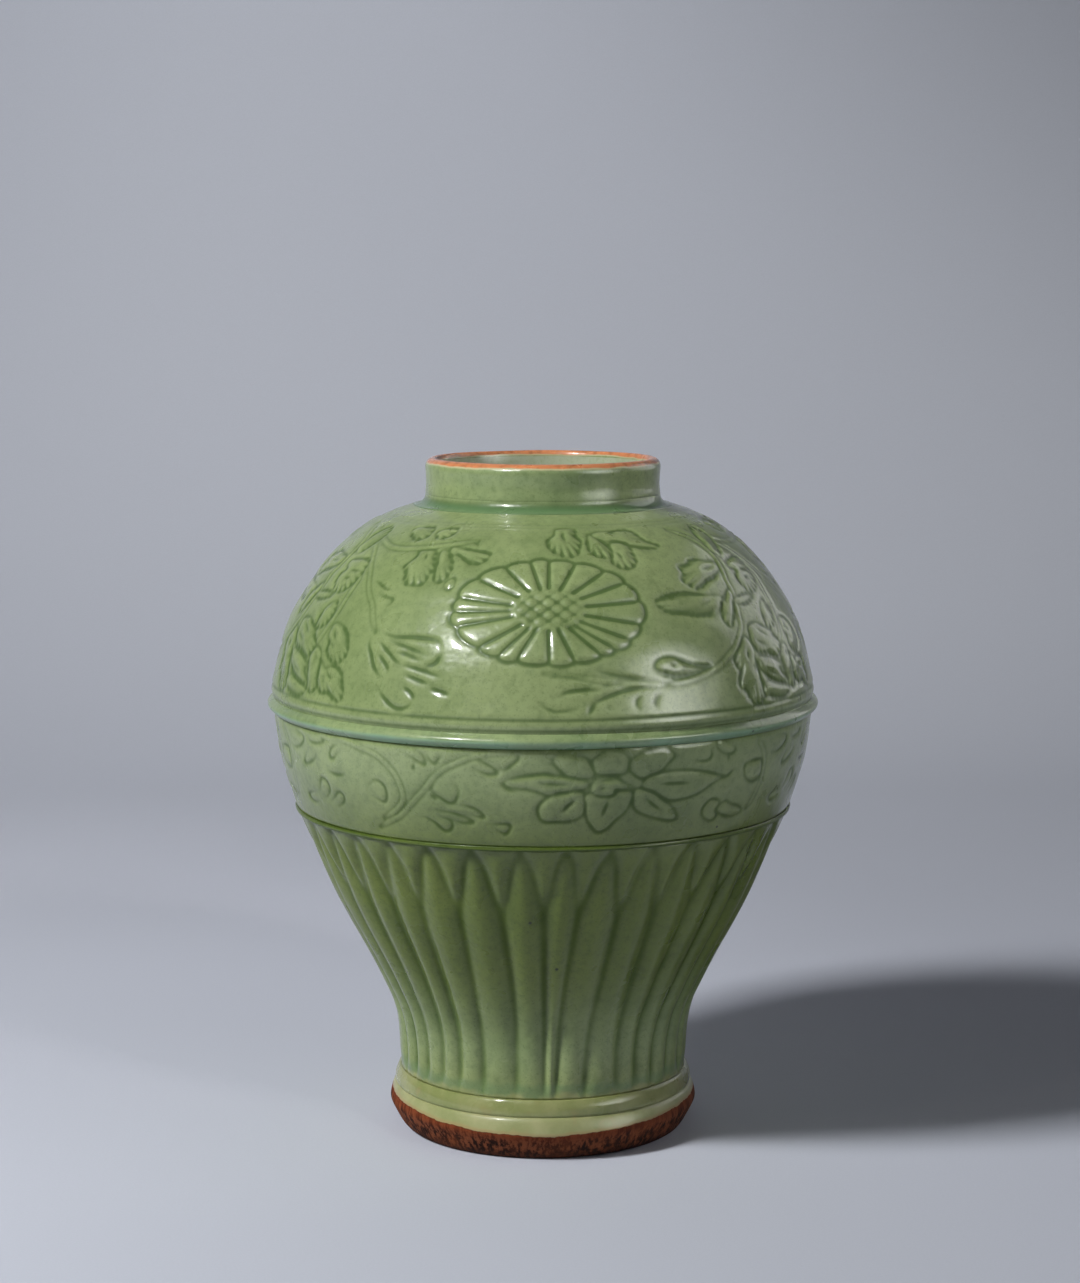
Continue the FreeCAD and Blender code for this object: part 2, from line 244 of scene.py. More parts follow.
class Skin:
    """The outer face of a thrown wall, unrolled: rows up the wall, columns round one repeat.

    Places on it are an angle in degrees and a distance in millimetres along the outline.
    Relief is in millimetres. The body is what stands up and the cuts are what goes in.
    """

    def __init__(self, outline):
        self.outline = even(outline, ROW_STEP)
        self.columns = CARVED_COLUMNS // REPEATS
        self.radius = self.outline[:, 0] / MM
        self.along = passed(self.outline) / MM
        middle = (self.radius[1:] + self.radius[:-1]) / 2
        self.flat = np.concatenate([[0], np.cumsum(np.diff(self.along) / middle)])
        self.turn_step = 2 * math.pi / CARVED_COLUMNS
        self.start = -math.pi / REPEATS
        self.body = np.zeros((len(self.radius), self.columns))
        self.cuts = np.zeros_like(self.body)

    def line(self, points, closed=False):
        """A drawn line on the unrolled plane, where both ways have the same scale."""
        line = spline(points, closed)
        return np.column_stack([np.radians(line[:, 0]), np.interp(line[:, 1], self.along, self.flat)])

    def window(self, line, margin):
        """The cells near a line: which, where, how far from it and at which share of its length."""
        reach = margin / self.radius.min()
        low_side, low = line.min(0) - reach
        high_side, high = line.max(0) + reach
        rows = np.nonzero((self.flat > low) & (self.flat < high))[0]
        first = int((low_side - self.start) / self.turn_step)
        last = int((high_side - self.start) / self.turn_step) + 1
        columns = np.arange(first, min(last, first + self.columns))
        places = np.meshgrid(self.start + columns * self.turn_step, self.flat[rows])
        gap, share = distance(places, line)
        return np.ix_(rows, columns % self.columns), places, gap * self.radius[rows][:, None], share

    def stroke(self, points, width, depth, taper=0.35, blunt=False):
        """A cut made with one pull of the tool, thin at both ends, or only at its last point if blunt."""
        window, _, gap, share = self.window(self.line(points), 3 * width)
        thin = 1 - share if blunt else np.minimum(share, 1 - share)
        swell = np.clip(thin / taper, 0.02, 1) ** 0.6
        cut = depth * swell * bell(gap, width * (0.45 + 0.55 * swell))
        self.cuts[window] = np.maximum(self.cuts[window], cut)

    def leaf(self, points, veins, depth, swell=0.55, notches=True):
        """A leaf or petal: a pillow inside a cut outline, with incised veins."""
        line = self.line(points, closed=True)
        window, places, gap, share = self.window(line, 7)
        within = inside(places, line)
        pillow = 0.8 * swell * (1 - bell(gap, 1.7, 1)) - 0.2 * (1 - bell(gap, 6, 1))
        press = depth * (0.88 + 0.16 * np.sin(share * 15 + points[0][0]))
        slope = press * (0.6 * bell(gap, 0.95) + 0.4 * bell(gap, 2.3, 1))
        self.body[window] = np.where(within, pillow, self.body[window] * (1 - bell(gap, 1.2, 1)))
        self.cuts[window] = np.where(within, press * bell(gap, 0.65), np.maximum(self.cuts[window], slope))
        for vein in veins:
            self.stroke(vein, 0.9, 1.1 * depth)
        if notches:
            self.notch(line, points[0], depth, 0.38 if veins else 0.62)

    def notch(self, line, base, depth, reach, smallest=18, spacing=5):
        """Small cuts from the edge of a large leaf towards its base, which part it into leaflets."""
        flat_base = np.array([math.radians(base[0]), np.interp(base[1], self.along, self.flat)])
        edge_length = passed(line) * np.interp(base[1], self.along, self.radius)
        total = edge_length[-1]
        if total < smallest:
            return
        for place in np.linspace(0.19, 0.81, int(total / spacing)) * total:
            edge = np.array([np.interp(place, edge_length, line[:, k]) for k in (0, 1)])
            ends = np.array([edge, edge + (flat_base - edge) * reach])
            heights = np.interp(ends[:, 1], self.flat, self.along)
            self.stroke(list(zip(np.degrees(ends[:, 0]), heights)), 1.0, 1.45 * depth, 0.9, True)

    def stem(self, points, half_width, depth):
        """A raised stem between two cuts."""
        window, _, gap, share = self.window(self.line(points), half_width + 5)
        width = half_width * np.clip(np.minimum(share, 1 - share) / 0.08, 0.25, 1) ** 0.5
        within = gap < width
        rim = gap - width
        slope = depth * (0.6 * bell(rim, 0.6) + 0.4 * bell(rim, 1.3, 1))
        top = 0.35 * np.clip(1 - (gap / width) ** 2, 0, 1)
        self.body[window] = np.where(within, top, self.body[window])
        self.cuts[window] = np.where(within, depth * bell(rim, 0.5), np.maximum(self.cuts[window], slope))

    def flower(self, centre, half_turn, half_height, bearings, depth):
        """An open flower: a ring of petals, parted at the bearings, round a raised oval knob."""
        turn = np.degrees(self.start + np.arange(self.columns) * self.turn_step)[None, :]
        across = (turn - centre[0]) / half_turn
        up = (self.along[:, None] - centre[1]) / half_height
        rho = np.hypot(across, up)
        angle = np.arctan2(up, across)
        bearing = np.degrees(angle) % 360
        half_width = math.radians(half_turn) * self.radius[:, None]
        crosswise = np.hypot(np.sin(angle) * half_width, np.cos(angle) * half_height)
        outward = np.hypot(np.cos(angle) * half_width, np.sin(angle) * half_height)
        order = np.sort(np.array(bearings) % 360)
        edges = np.concatenate([[order[-1] - 360], order, [order[0] + 360]])
        index = np.clip(np.searchsorted(edges, bearing), 1, len(edges) - 1)
        low = edges[index - 1]
        high = edges[index]
        share = (2 * bearing - low - high) / (high - low)
        rim = 1 - 0.045 * np.abs(share) ** 2.4 + 0.012 * np.sin(index * 2.4)
        seam = np.radians(np.minimum(bearing - low, high - bearing)) * rho * crosswise
        middle = np.radians(share / 2 * (high - low)) * rho * crosswise
        parted = ramp(rho, 0.33, 0.39) * ramp(rho, 0.98, 0.92)
        edge = (rim - rho) * outward
        gap = np.minimum(np.abs(edge), seam + 3 * (1 - parted))
        pillow = 0.5 * (1 - bell(gap, 1.8, 1))
        cut = 1.15 * depth * np.maximum(parted * bell(seam, 0.95), bell(edge, 1.0))
        crease = 0.2 * depth * bell(middle, 0.7) * ramp(rho, 0.45, 0.55) * ramp(rho, 0.82, 0.72)
        slope = depth * (0.55 * bell(edge, 1.1) + 0.45 * bell(edge, 2.6, 1))
        within = edge > 0
        beside = ~within & (rho < 1.25)
        self.body = np.where(within, pillow, self.body)
        self.cuts = np.where(within, np.maximum(cut, crease), self.cuts)
        self.cuts = np.where(beside, np.maximum(self.cuts, slope), self.cuts)
        self.knob(rho < 0.345, 0.8 * across * half_width, up * half_height, depth)

    def knob(self, within, across, up, depth):
        """The raised centre of a flower, with a slanting lattice cut into it."""
        waves = [np.abs(np.sin(math.pi * (across + way * up) / 6.2)) for way in (1, -1)]
        dots = np.clip(1.7 * np.minimum(*waves), 0, 1)
        self.body = np.where(within, 0.7, self.body)
        self.cuts = np.where(within, 1.25 * depth * (1 - dots), self.cuts)

    def ring(self, place, width, depth):
        """A thin line turned on the wheel."""
        self.cuts = np.maximum(self.cuts, depth * bell(self.along - place, width)[:, None])

    def relief(self):
        """The relief all the way round in metres, and how deep the glaze pools in it."""
        fresh = self.body - self.cuts
        relief = soften(fresh, 4)
        wide = soften(relief, 24)
        pooling = np.clip((wide - soften(fresh, 3)) / 0.3 + 0.9 * soften(self.cuts, 60), -1, 1.6)
        return np.tile(relief, (1, REPEATS)) * MM, np.tile(pooling, (1, REPEATS))


# Shells.

def add_object(name, data):
    """A new object in the scene."""
    thing = bpy.data.objects.new(name, data)
    bpy.context.scene.collection.objects.link(thing)
    return thing


def shell(name, node, materials, outer, inner, relief, pooling=None):
    """A turned ring as one closed mesh that takes the place of a node of the frame.

    The outer outline runs up and carries the relief, and the inner one runs down again.
    """
    rows, columns = relief.shape
    turn = np.linspace(0, 2 * math.pi, columns, endpoint=False) - math.pi / REPEATS
    tangent = np.gradient(outer, axis=0)
    tangent /= np.hypot(*tangent.T)[:, None]
    radius = np.vstack([outer[:, :1] + relief * tangent[:, 1:], np.repeat(inner[:, :1], columns, 1)])
    height = np.vstack([outer[:, 1:] - relief * tangent[:, :1], np.repeat(inner[:, 1:], columns, 1)])
    points = np.stack([radius * np.sin(turn), -radius * np.cos(turn), height], 2)
    count = len(points)
    row = np.arange(count)[:, None] * columns
    above = np.roll(row, -1, 0)
    column = np.arange(columns)[None, :]
    after = np.roll(column, -1, 1)
    faces = np.stack([row + column, row + after, above + after, above + column], 2).reshape(-1, 4)
    mesh = bpy.data.meshes.new(name)
    mesh.from_pydata(points.reshape(-1, 3).tolist(), [], faces.tolist())
    values = np.zeros((count, columns), np.float32)
    if pooling is not None:
        values[:rows] = pooling
    mesh.attributes.new("pooling", "FLOAT", "POINT").data.foreach_set("value", values.ravel())
    for material in materials:
        mesh.materials.append(material)
    slots = (np.arange(count) >= rows).astype(np.int32)
    mesh.polygons.foreach_set("material_index", np.repeat(slots, columns))
    mesh.polygons.foreach_set("use_smooth", np.ones(len(faces), bool))
    mesh.update()
    piece = add_object(name, mesh)
    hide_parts(node)
    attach(piece, "root")


def inner_wall(shares, low, high, start, end, rings):
    """The inside of a thrown wall from top to bottom, with the rings that fingers left."""
    line = even(wall(shares, low, high, start, end), 3 * MM)
    wave = 0.18 * MM * np.sin(np.linspace(0, 2 * math.pi * rings, len(line)))
    line[1:-1, 0] += wave[1:-1]
    return line[::-1]


def round_the_turn(values, columns):
    """One value for each row, the same all the way round."""
    return np.tile(values[:, None], (1, columns))


# The carved patterns. A stem or stroke is its points, and a leaf is its outline and then its veins.

# The cuts between the petals of the scroll's flower, as bearings in degrees.
FLOWER_BEARINGS = [
    102, 89, 70, 48, 29, 6, -19, -37, -50, -60, -76, -90, -108, -119, -133, -159, -175, 169, 144, 121,
]


def carve_shoulder(skin, depth):
    """The flower scroll on the shoulder, as one repeat."""
    scroll_stems(skin, depth)
    scroll_left_leaves(skin, depth)
    scroll_right_leaves(skin, depth)
    scroll_low_leaves(skin, depth)
    scroll_high_leaves(skin, depth)
    skin.flower((1.2, 52), 22.6, 27.3, FLOWER_BEARINGS, depth)
    for place in (104.8, 102.2):
        skin.ring(place, 0.55, 0.45)


def scroll_stems(skin, depth):
    """The stems and tendrils of the scroll, and the leaf that folds over its stem."""
    # The winding stems, from the neck down to the lower border.
    for width, points in (
        (1.3, [(-66, 95), (-60, 90.5), (-55, 86.5), (-50, 83.5), (-46, 82.7), (-42, 83), (-38, 84),
               (-34, 85.3), (-30, 87), (-26, 88.5), (-20, 91)]),
        (1.0, [(-60, 86), (-57, 82.5), (-54, 77), (-52, 72), (-49.5, 66), (-47.5, 60), (-45, 54),
               (-43, 50), (-41, 43), (-39, 37)]),
        (1.2, [(-53.5, 68), (-52.5, 62), (-53, 56), (-53.5, 50), (-54, 44), (-55, 38), (-56.5, 31),
               (-58.5, 26), (-60, 18)]),
        (1.3, [(45, 97), (49, 92), (52, 87), (53.5, 82), (54, 76), (53.5, 70), (52, 62), (52, 56),
               (51, 50), (50, 44), (49, 38), (47, 33), (45, 28.5), (42.5, 25), (40, 21.5), (37, 19),
               (33, 16.8), (29, 15.3), (26, 15)]),
        (1.0, [(0, 21.5), (5, 20.5), (10, 18.5), (16, 16.5), (22, 15.3), (26, 15)]),
    ):
        skin.stem(points, width, depth)

    # Tendrils.
    for points in (
        [(9, 24), (13, 21), (18, 18.5), (23, 16.5)],
        [(-46.5, 63), (-44, 61.5), (-41, 59), (-38, 58.5)],
        [(-43.5, 57), (-40, 55), (-37.5, 54), (-38, 51), (-39.5, 50)],
        [(-24, 89), (-21, 89.5), (-19.5, 88), (-19, 85)],
    ):
        skin.stroke(points, 1.0, depth)

    # The folded leaf right of the flower.
    skin.leaf([(47, 53.5), (45.5, 50), (43.7, 47), (42, 45.2), (39, 45.2), (36, 45.8), (33, 47.3),
               (30, 48), (28, 50.5), (27, 54), (28.5, 56), (31.5, 57.5), (35, 58), (38, 57), (41, 55.5),
               (44, 55)], [], depth)
    for width, strength, points in (
        (0.8, 0.8, [(31.5, 55.5), (33.5, 57)]),
        (0.9, 1, [(32, 51), (34, 53.5), (35.5, 54.5)]),
        (0.9, 1, [(37.5, 48), (39, 50.5), (42, 52), (44.5, 53.5)]),
        (0.8, 0.8, [(43.5, 47.5), (43, 50)]),
        (1.0, 1, [(28.5, 28), (30, 25.5), (32, 23), (36, 21.5)]),
    ):
        skin.stroke(points, width, strength * depth)


def scroll_left_leaves(skin, depth):
    """The leaves left of the flower."""
    for outline, *veins in (
        [[(-62, 72), (-57, 73.5), (-54, 74), (-53, 68), (-53, 64), (-54, 60), (-55.5, 56.5), (-58, 54),
          (-61, 55), (-62.5, 58), (-63, 62), (-61, 66.5), (-62.5, 69)],
         [(-59, 66.2), (-53, 66.8)], [(-59.5, 61.5), (-56, 62.5)], [(-59, 57), (-56, 58.5)]],
        [[(-70, 51), (-66, 48.5), (-62, 50), (-60, 52.5), (-63, 54), (-66, 53)]],
        [[(-59, 47), (-60.5, 43), (-61, 38), (-60, 35), (-57.5, 36), (-56, 40), (-55.5, 45), (-56.5, 50)]],
        [[(-37, 82), (-36.7, 79), (-38, 75), (-39, 71.5), (-37.5, 68.5), (-36.8, 65), (-35.5, 62.5),
          (-33.5, 62.5), (-31, 63), (-30.2, 67), (-29.8, 73), (-30.5, 78), (-32, 83)],
         [(-34.5, 82), (-33, 76)], [(-32.5, 82.5), (-31.5, 78), (-30, 76)]],
        [[(-30, 83), (-29.3, 77), (-29, 71), (-28.5, 67), (-27, 64.5), (-25.5, 66), (-24.5, 70),
          (-24.5, 75), (-26, 80), (-27.5, 83)]],
        [[(-24, 66), (-24.8, 63), (-23.5, 61), (-22.3, 63), (-22.5, 67)]],
        [[(-27, 85.5), (-22, 85), (-18, 84), (-15, 83.5), (-15.3, 80), (-16.5, 77), (-19, 76),
          (-21, 77.5), (-23, 80.5), (-26.5, 82)]],
        [[(-53, 38.5), (-50, 38), (-47.5, 35), (-46.3, 31), (-45.7, 27), (-46, 24), (-47.5, 21),
          (-49.5, 20.2), (-51.5, 22), (-52.8, 25), (-52.5, 28.5), (-53.5, 32)],
         [(-52.3, 37), (-51.3, 33), (-50, 30)], [(-52, 30.5), (-51, 28), (-50, 26)]],
        [[(-57, 26), (-59, 21), (-58.8, 14), (-58, 8), (-56.2, 4.8), (-54.3, 6.5), (-53.8, 11),
          (-54, 17), (-54.7, 24)],
         [(-56.5, 24), (-55.5, 19)]],
        [[(-53.5, 20), (-52, 17), (-49, 18.5), (-46.5, 17), (-45.5, 12), (-44.8, 7), (-45.5, 3.2),
          (-47.5, 3.5), (-49.5, 6), (-52, 5.8), (-53.8, 9), (-53.8, 14)],
         [(-51.5, 17), (-50, 14), (-48, 12.3)], [(-52, 13), (-51.2, 9)]],
    ):
        skin.leaf(outline, veins, depth)


def scroll_low_leaves(skin, depth):
    """The leaves under the flower and at the lower border."""
    # The leaf at the lower left, one pull of the tool for each lobe.
    for points in (
        [(-37.5, 37.3), (-33.2, 35.8), (-28.2, 36.2), (-24, 35.8), (-22.3, 34), (-21.8, 30)],
        [(-35.2, 34), (-32.5, 32.7), (-29.2, 31), (-26.8, 29.4), (-24.5, 28.2)],
        [(-37.3, 33.5), (-34.8, 29.2), (-32.2, 25), (-30, 22.9)],
        [(-32.8, 28.7), (-29.8, 28.1), (-27.5, 26.6), (-25.5, 25.5)],
        [(-30.8, 23.4), (-27.5, 22), (-23.8, 20.2), (-20.6, 18.5)],
        [(-29.4, 19), (-26.2, 16.7), (-23.2, 15.4)],
        [(-29.5, 13.6), (-27.5, 10.6), (-26.2, 7.4)],
        [(-23.5, 13.7), (-20.8, 11.9), (-18.6, 11)],
        [(-39.9, 34.5), (-39.6, 30), (-38.5, 26.1), (-37.2, 20.7), (-34.6, 15.6)],
        [(-37, 27.5), (-34.5, 23.1), (-33, 18.6)],
        [(-35.6, 12.2), (-33.5, 7.3), (-31.2, 3.8), (-29.2, 3.2), (-27.4, 5), (-26.6, 8.4)],
        [(-21.8, 30), (-22, 27), (-23, 24.2), (-25.5, 22.9)],
    ):
        skin.stroke(points, 1.15, 1.3 * depth)

    # The stalk and blades right under the flower.
    for width, strength, points in (
        (1.0, 1.2, [(-0.8, 20.5), (1.8, 20.9), (4.2, 20.2), (6.8, 19.4), (10, 18.6)]),
        (1.1, 1.2, [(2.6, 10.2), (4.2, 12.6), (6.2, 13.5), (9, 13.9), (12, 13.2)]),
        (0.9, 1, [(11, 13.7), (12.5, 15.2), (14.5, 16.3), (17, 16.6), (20, 16.2)]),
        (1.1, 1.3, [(8, 7.1), (10.5, 8.3), (12.2, 10), (14.2, 11.6), (16.5, 13), (19.5, 13.9),
                    (23.5, 14.2)]),
        (1.3, 1.1, [(10.6, 8.2), (9.6, 5.4), (8.6, 2)]),
        (0.9, 0.9, [(-0.6, 10), (-0.4, 7.5), (1.8, 4.6), (4.4, 4.5), (7, 5.3)]),
        (0.8, 0.7, [(12, 6.7), (13.6, 4.8)]),
        (1.0, 0.8, [(20, 11), (18.7, 7.5), (19.2, 3.5)]),
        (1.0, 0.8, [(24.5, 11.5), (22.8, 7.5), (23.4, 3.5)]),
    ):
        skin.stroke(points, width, strength * depth)
    skin.leaf([(25, 26.5), (27.5, 27), (30, 25), (33, 22.5), (37, 21), (33, 18.5), (29, 17.5),
               (26, 18.8), (24, 21.5), (23.5, 24)], [[(27, 24.5), (29, 22.5)]], depth)


def scroll_right_leaves(skin, depth):
    """The leaves right of the flower."""
    for outline, *veins in (
        [[(51, 57), (48, 54), (45.5, 50), (44.3, 45), (44.5, 41), (45.7, 38.5), (47.2, 41), (48.5, 45),
          (49.5, 49), (51, 53)],
         [(50, 56), (48, 52), (46.8, 48)]],
        [[(52, 73), (49, 73.5), (45.5, 75), (43, 75.3), (41, 72.8), (38, 72), (38.3, 68), (36.8, 65),
          (38, 61.5), (40.5, 59), (42.7, 60.5), (44.5, 62.5), (47.5, 64), (50, 66.5), (52, 69)],
         [(44.3, 69), (47, 69.3), (51, 70.5)], [(43, 63), (46, 64)]],
        [[(49, 33), (47, 29.5), (45, 26), (43.9, 21.5), (45.4, 16.5), (44, 12), (45.2, 8.5), (46.3, 7),
          (46.4, 4), (48, 1.8), (50.3, 1.8), (51.8, 5.5), (51.2, 11), (50.7, 20), (50.6, 28)],
         [(48.7, 27), (48, 22)], [(50, 20), (49.5, 16)]],
        [[(51.5, 37.5), (54.5, 38.7), (57.5, 36.5), (60, 34), (61, 30.5), (62.3, 27), (61.3, 23),
          (59, 20.3), (57, 22), (54.5, 23.5), (52, 25), (51, 29), (51, 33)],
         [(53, 37.5), (55.5, 34), (58.5, 30.5)], [(51.5, 31.5), (54, 29), (57, 26.5)]],
        [[(52, 22.5), (54.5, 21.8), (58, 20.5), (60.3, 17), (60, 13.5), (62, 9), (58, 8.5), (55, 11),
          (53, 14), (51.8, 18)],
         [(53, 17), (56, 14), (59.5, 12)]],
        [[(52, 9.5), (51.7, 5.5), (53.3, 3.3), (56, 1.8), (59, 1.5), (61.5, 3.5), (62, 6.5),
          (58.5, 8.3), (55, 10.5)]],
    ):
        skin.leaf(outline, veins, depth)


def scroll_high_leaves(skin, depth):
    """The buds and leaves near the neck."""
    for outline, *veins in (
        [[(54.5, 80), (55.5, 85), (55, 90), (56.5, 95), (59, 97), (61.5, 94), (62, 89), (61, 84),
          (59.5, 79), (57, 76)]],
        [[(-47, 98), (-46.5, 94), (-44, 90.5), (-41, 89.5), (-38.7, 92), (-38.5, 96), (-40, 100)]],
        [[(-36, 97), (-35.5, 93), (-33, 91.5), (-30.5, 94), (-29.5, 98), (-31, 101)]],
        [[(4.5, 101), (3.5, 96), (1.3, 91.5), (2, 86.5), (4.3, 82.8), (7, 81), (9.3, 82), (10.5, 86),
          (11.5, 91.5), (10.3, 96), (10.5, 101)],
         [(6.8, 100), (6.2, 95), (7, 90)]],
        [[(14.8, 97), (13.7, 92), (13, 87.5), (13.7, 84), (15.5, 81), (18.5, 80), (20.5, 81.5),
          (20, 86), (18.5, 90), (16.3, 94)]],
        [[(20.3, 89), (20, 83), (19, 78.5), (19.3, 75.3), (21.5, 73), (24, 73.5), (25.8, 77), (26, 82),
          (26, 86), (24.3, 89.5)],
         [(20.8, 84), (21.8, 80), (21.8, 77)]],
        [[(15.5, 96), (18, 98.3), (22, 98.2), (25, 99), (28.5, 99.5), (31, 97), (32, 92.5),
          (33.5, 89.5), (36, 86.5), (34, 84.5), (30, 85), (27.5, 86.5), (25, 89.5), (21, 90.7), (18, 92)],
         [(30, 98), (31, 94), (31.5, 91)], [(21, 98), (24, 95.5)]],
    ):
        skin.leaf(outline, veins, depth)


def carve_belly(skin, depth):
    """The flower band on the belly, as one repeat."""
    band_stems(skin, depth)
    band_lily(skin, depth)
    band_right(skin, depth)
    band_left(skin, depth)


def band_stems(skin, depth):
    """The stems and loose cuts of the band."""
    # The winding stems, and the stalk at the right.
    for width, points in (
        (1.1, [(-5, 46), (-9, 46), (-12, 45), (-15, 43), (-18, 40), (-20.5, 37), (-22.5, 33),
               (-24.3, 28), (-26.5, 23), (-29, 17.5), (-31.5, 12.5), (-34.5, 9), (-37.5, 5)]),
        (1.1, [(-48, 47), (-44, 46), (-40, 44), (-36, 41.5), (-33.5, 38), (-31.5, 33.5), (-30.3, 28),
               (-30, 22), (-31, 18), (-33, 14), (-36, 10)]),
        (1.0, [(49.5, 45), (51.5, 40), (52.5, 35), (52.5, 28), (52, 22), (51, 15), (49.5, 11)]),
    ):
        skin.stem(points, width, depth)

    # Tendrils.
    for width, points in (
        (1.0, [(38, 28.5), (41, 30), (43, 33.5)]),
        (0.9, [(31.5, 42), (32, 39.5), (34.5, 38.5), (36, 40), (35.8, 44), (34.5, 46)]),
    ):
        skin.stroke(points, width, depth)
    for points in (
        [(40.5, 40), (41, 37)],
        [(-26.5, 40), (-26.8, 37), (-26.5, 35)],
        [(-9, 32), (-7, 29), (-5, 27.5)],
        [(-24, 25), (-22.5, 23), (-22, 21.5)],
        [(-54.5, 46), (-52.5, 45), (-50, 44.5), (-47, 44)],
    ):
        skin.stroke(points, 0.8, depth)
    skin.stroke([(-50.5, 31.5), (-50, 29.5), (-47.5, 28.5), (-45.2, 29.5), (-44.5, 31)], 0.9, depth)


def band_lily(skin, depth):
    """The open flower of the band."""
    for outline, *veins in (
        [[(3, 45.5), (5.5, 45), (8, 44), (9, 42), (10, 38), (10, 35), (8, 34), (5, 35), (3.5, 38),
          (2, 42)]],
        [[(12.5, 46), (15.5, 45.5), (17, 43), (17, 39), (16.5, 36), (14, 35.5), (11, 36), (10, 39),
          (10, 43)]],
        [[(25, 46), (22, 46), (19.5, 44.5), (17.8, 42), (17.5, 38), (18.5, 35), (20.5, 33), (24, 36),
          (25.5, 39), (27, 43)]],
        [[(20.5, 31), (21.5, 33.5), (24, 34.8), (27, 35.3), (31, 34.8), (35, 33), (38, 31), (40, 30),
          (38, 28.5), (36.5, 27), (35, 25), (33, 23), (30, 21.5), (27, 21.3), (25, 23), (22.5, 26.5),
          (20.5, 28.5)],
         [(23, 30), (27, 29.5), (32, 29)]],
        [[(-8, 32), (-5, 34.5), (0, 36), (2, 35.5), (6, 34), (8.5, 32.5), (9, 30), (6, 28), (3, 27.3),
          (1.5, 25.8), (-1, 28), (-3, 29.2), (-6, 30)],
         [(7, 31), (3, 31.5), (-2, 32)]],
        [[(0, 13.5), (-1, 18), (-0.5, 22), (1.5, 25.8), (4, 27), (7, 28), (8.7, 25.5), (8.6, 20),
          (8, 16), (5.5, 13.5), (2.5, 13.2)],
         [(7, 25), (5, 21), (3.5, 17)]],
        [[(9.2, 27), (8.7, 21), (9, 15), (10, 11), (11.5, 7.5), (13.5, 9.2), (15, 13), (17, 17),
          (18, 22), (18.3, 27)],
         [(13.5, 25), (12.8, 20), (12, 14)]],
        [[(19, 28), (22.5, 26), (25, 22), (27, 18.5), (28.5, 15), (29, 11.5), (27, 11.3), (24, 13),
          (21, 15.5), (19.3, 18), (18.6, 22)],
         [(20.5, 25), (23, 20), (26, 15)]],
        [[(9.8, 31), (10.8, 33.8), (13, 34.8), (15, 33.2), (16.5, 31), (18.5, 29.3), (16.5, 28.5),
          (14.5, 28.5), (14.5, 26), (12.5, 25.3), (10.3, 26.5), (9.6, 28.8)],
         [(10.5, 31.5), (13, 33), (15, 31.3)], [(11, 29), (13, 29.5)]],
    ):
        skin.leaf(outline, veins, depth, 0.45, False)


def band_right(skin, depth):
    """The bud and leaves right of the lily."""
    for outline, *veins in (
        [[(38, 47), (40.5, 45.5), (42.3, 43), (42, 41), (40, 41), (38.3, 43), (37.3, 45.5)]],
        [[(46.3, 34), (46.2, 30), (47, 27), (49, 25), (51, 26), (51.7, 29), (51.5, 33), (50.8, 35)]],
        [[(37.5, 19), (35.7, 15), (36.2, 11), (38.5, 8.3), (40, 10), (39, 13), (40, 17)]],
        [[(41.5, 17), (40, 13.5), (41.5, 10.5), (45, 8.5), (48, 10), (46, 13), (43.5, 15)]],
    ):
        skin.leaf(outline, veins, depth, 0.45, False)


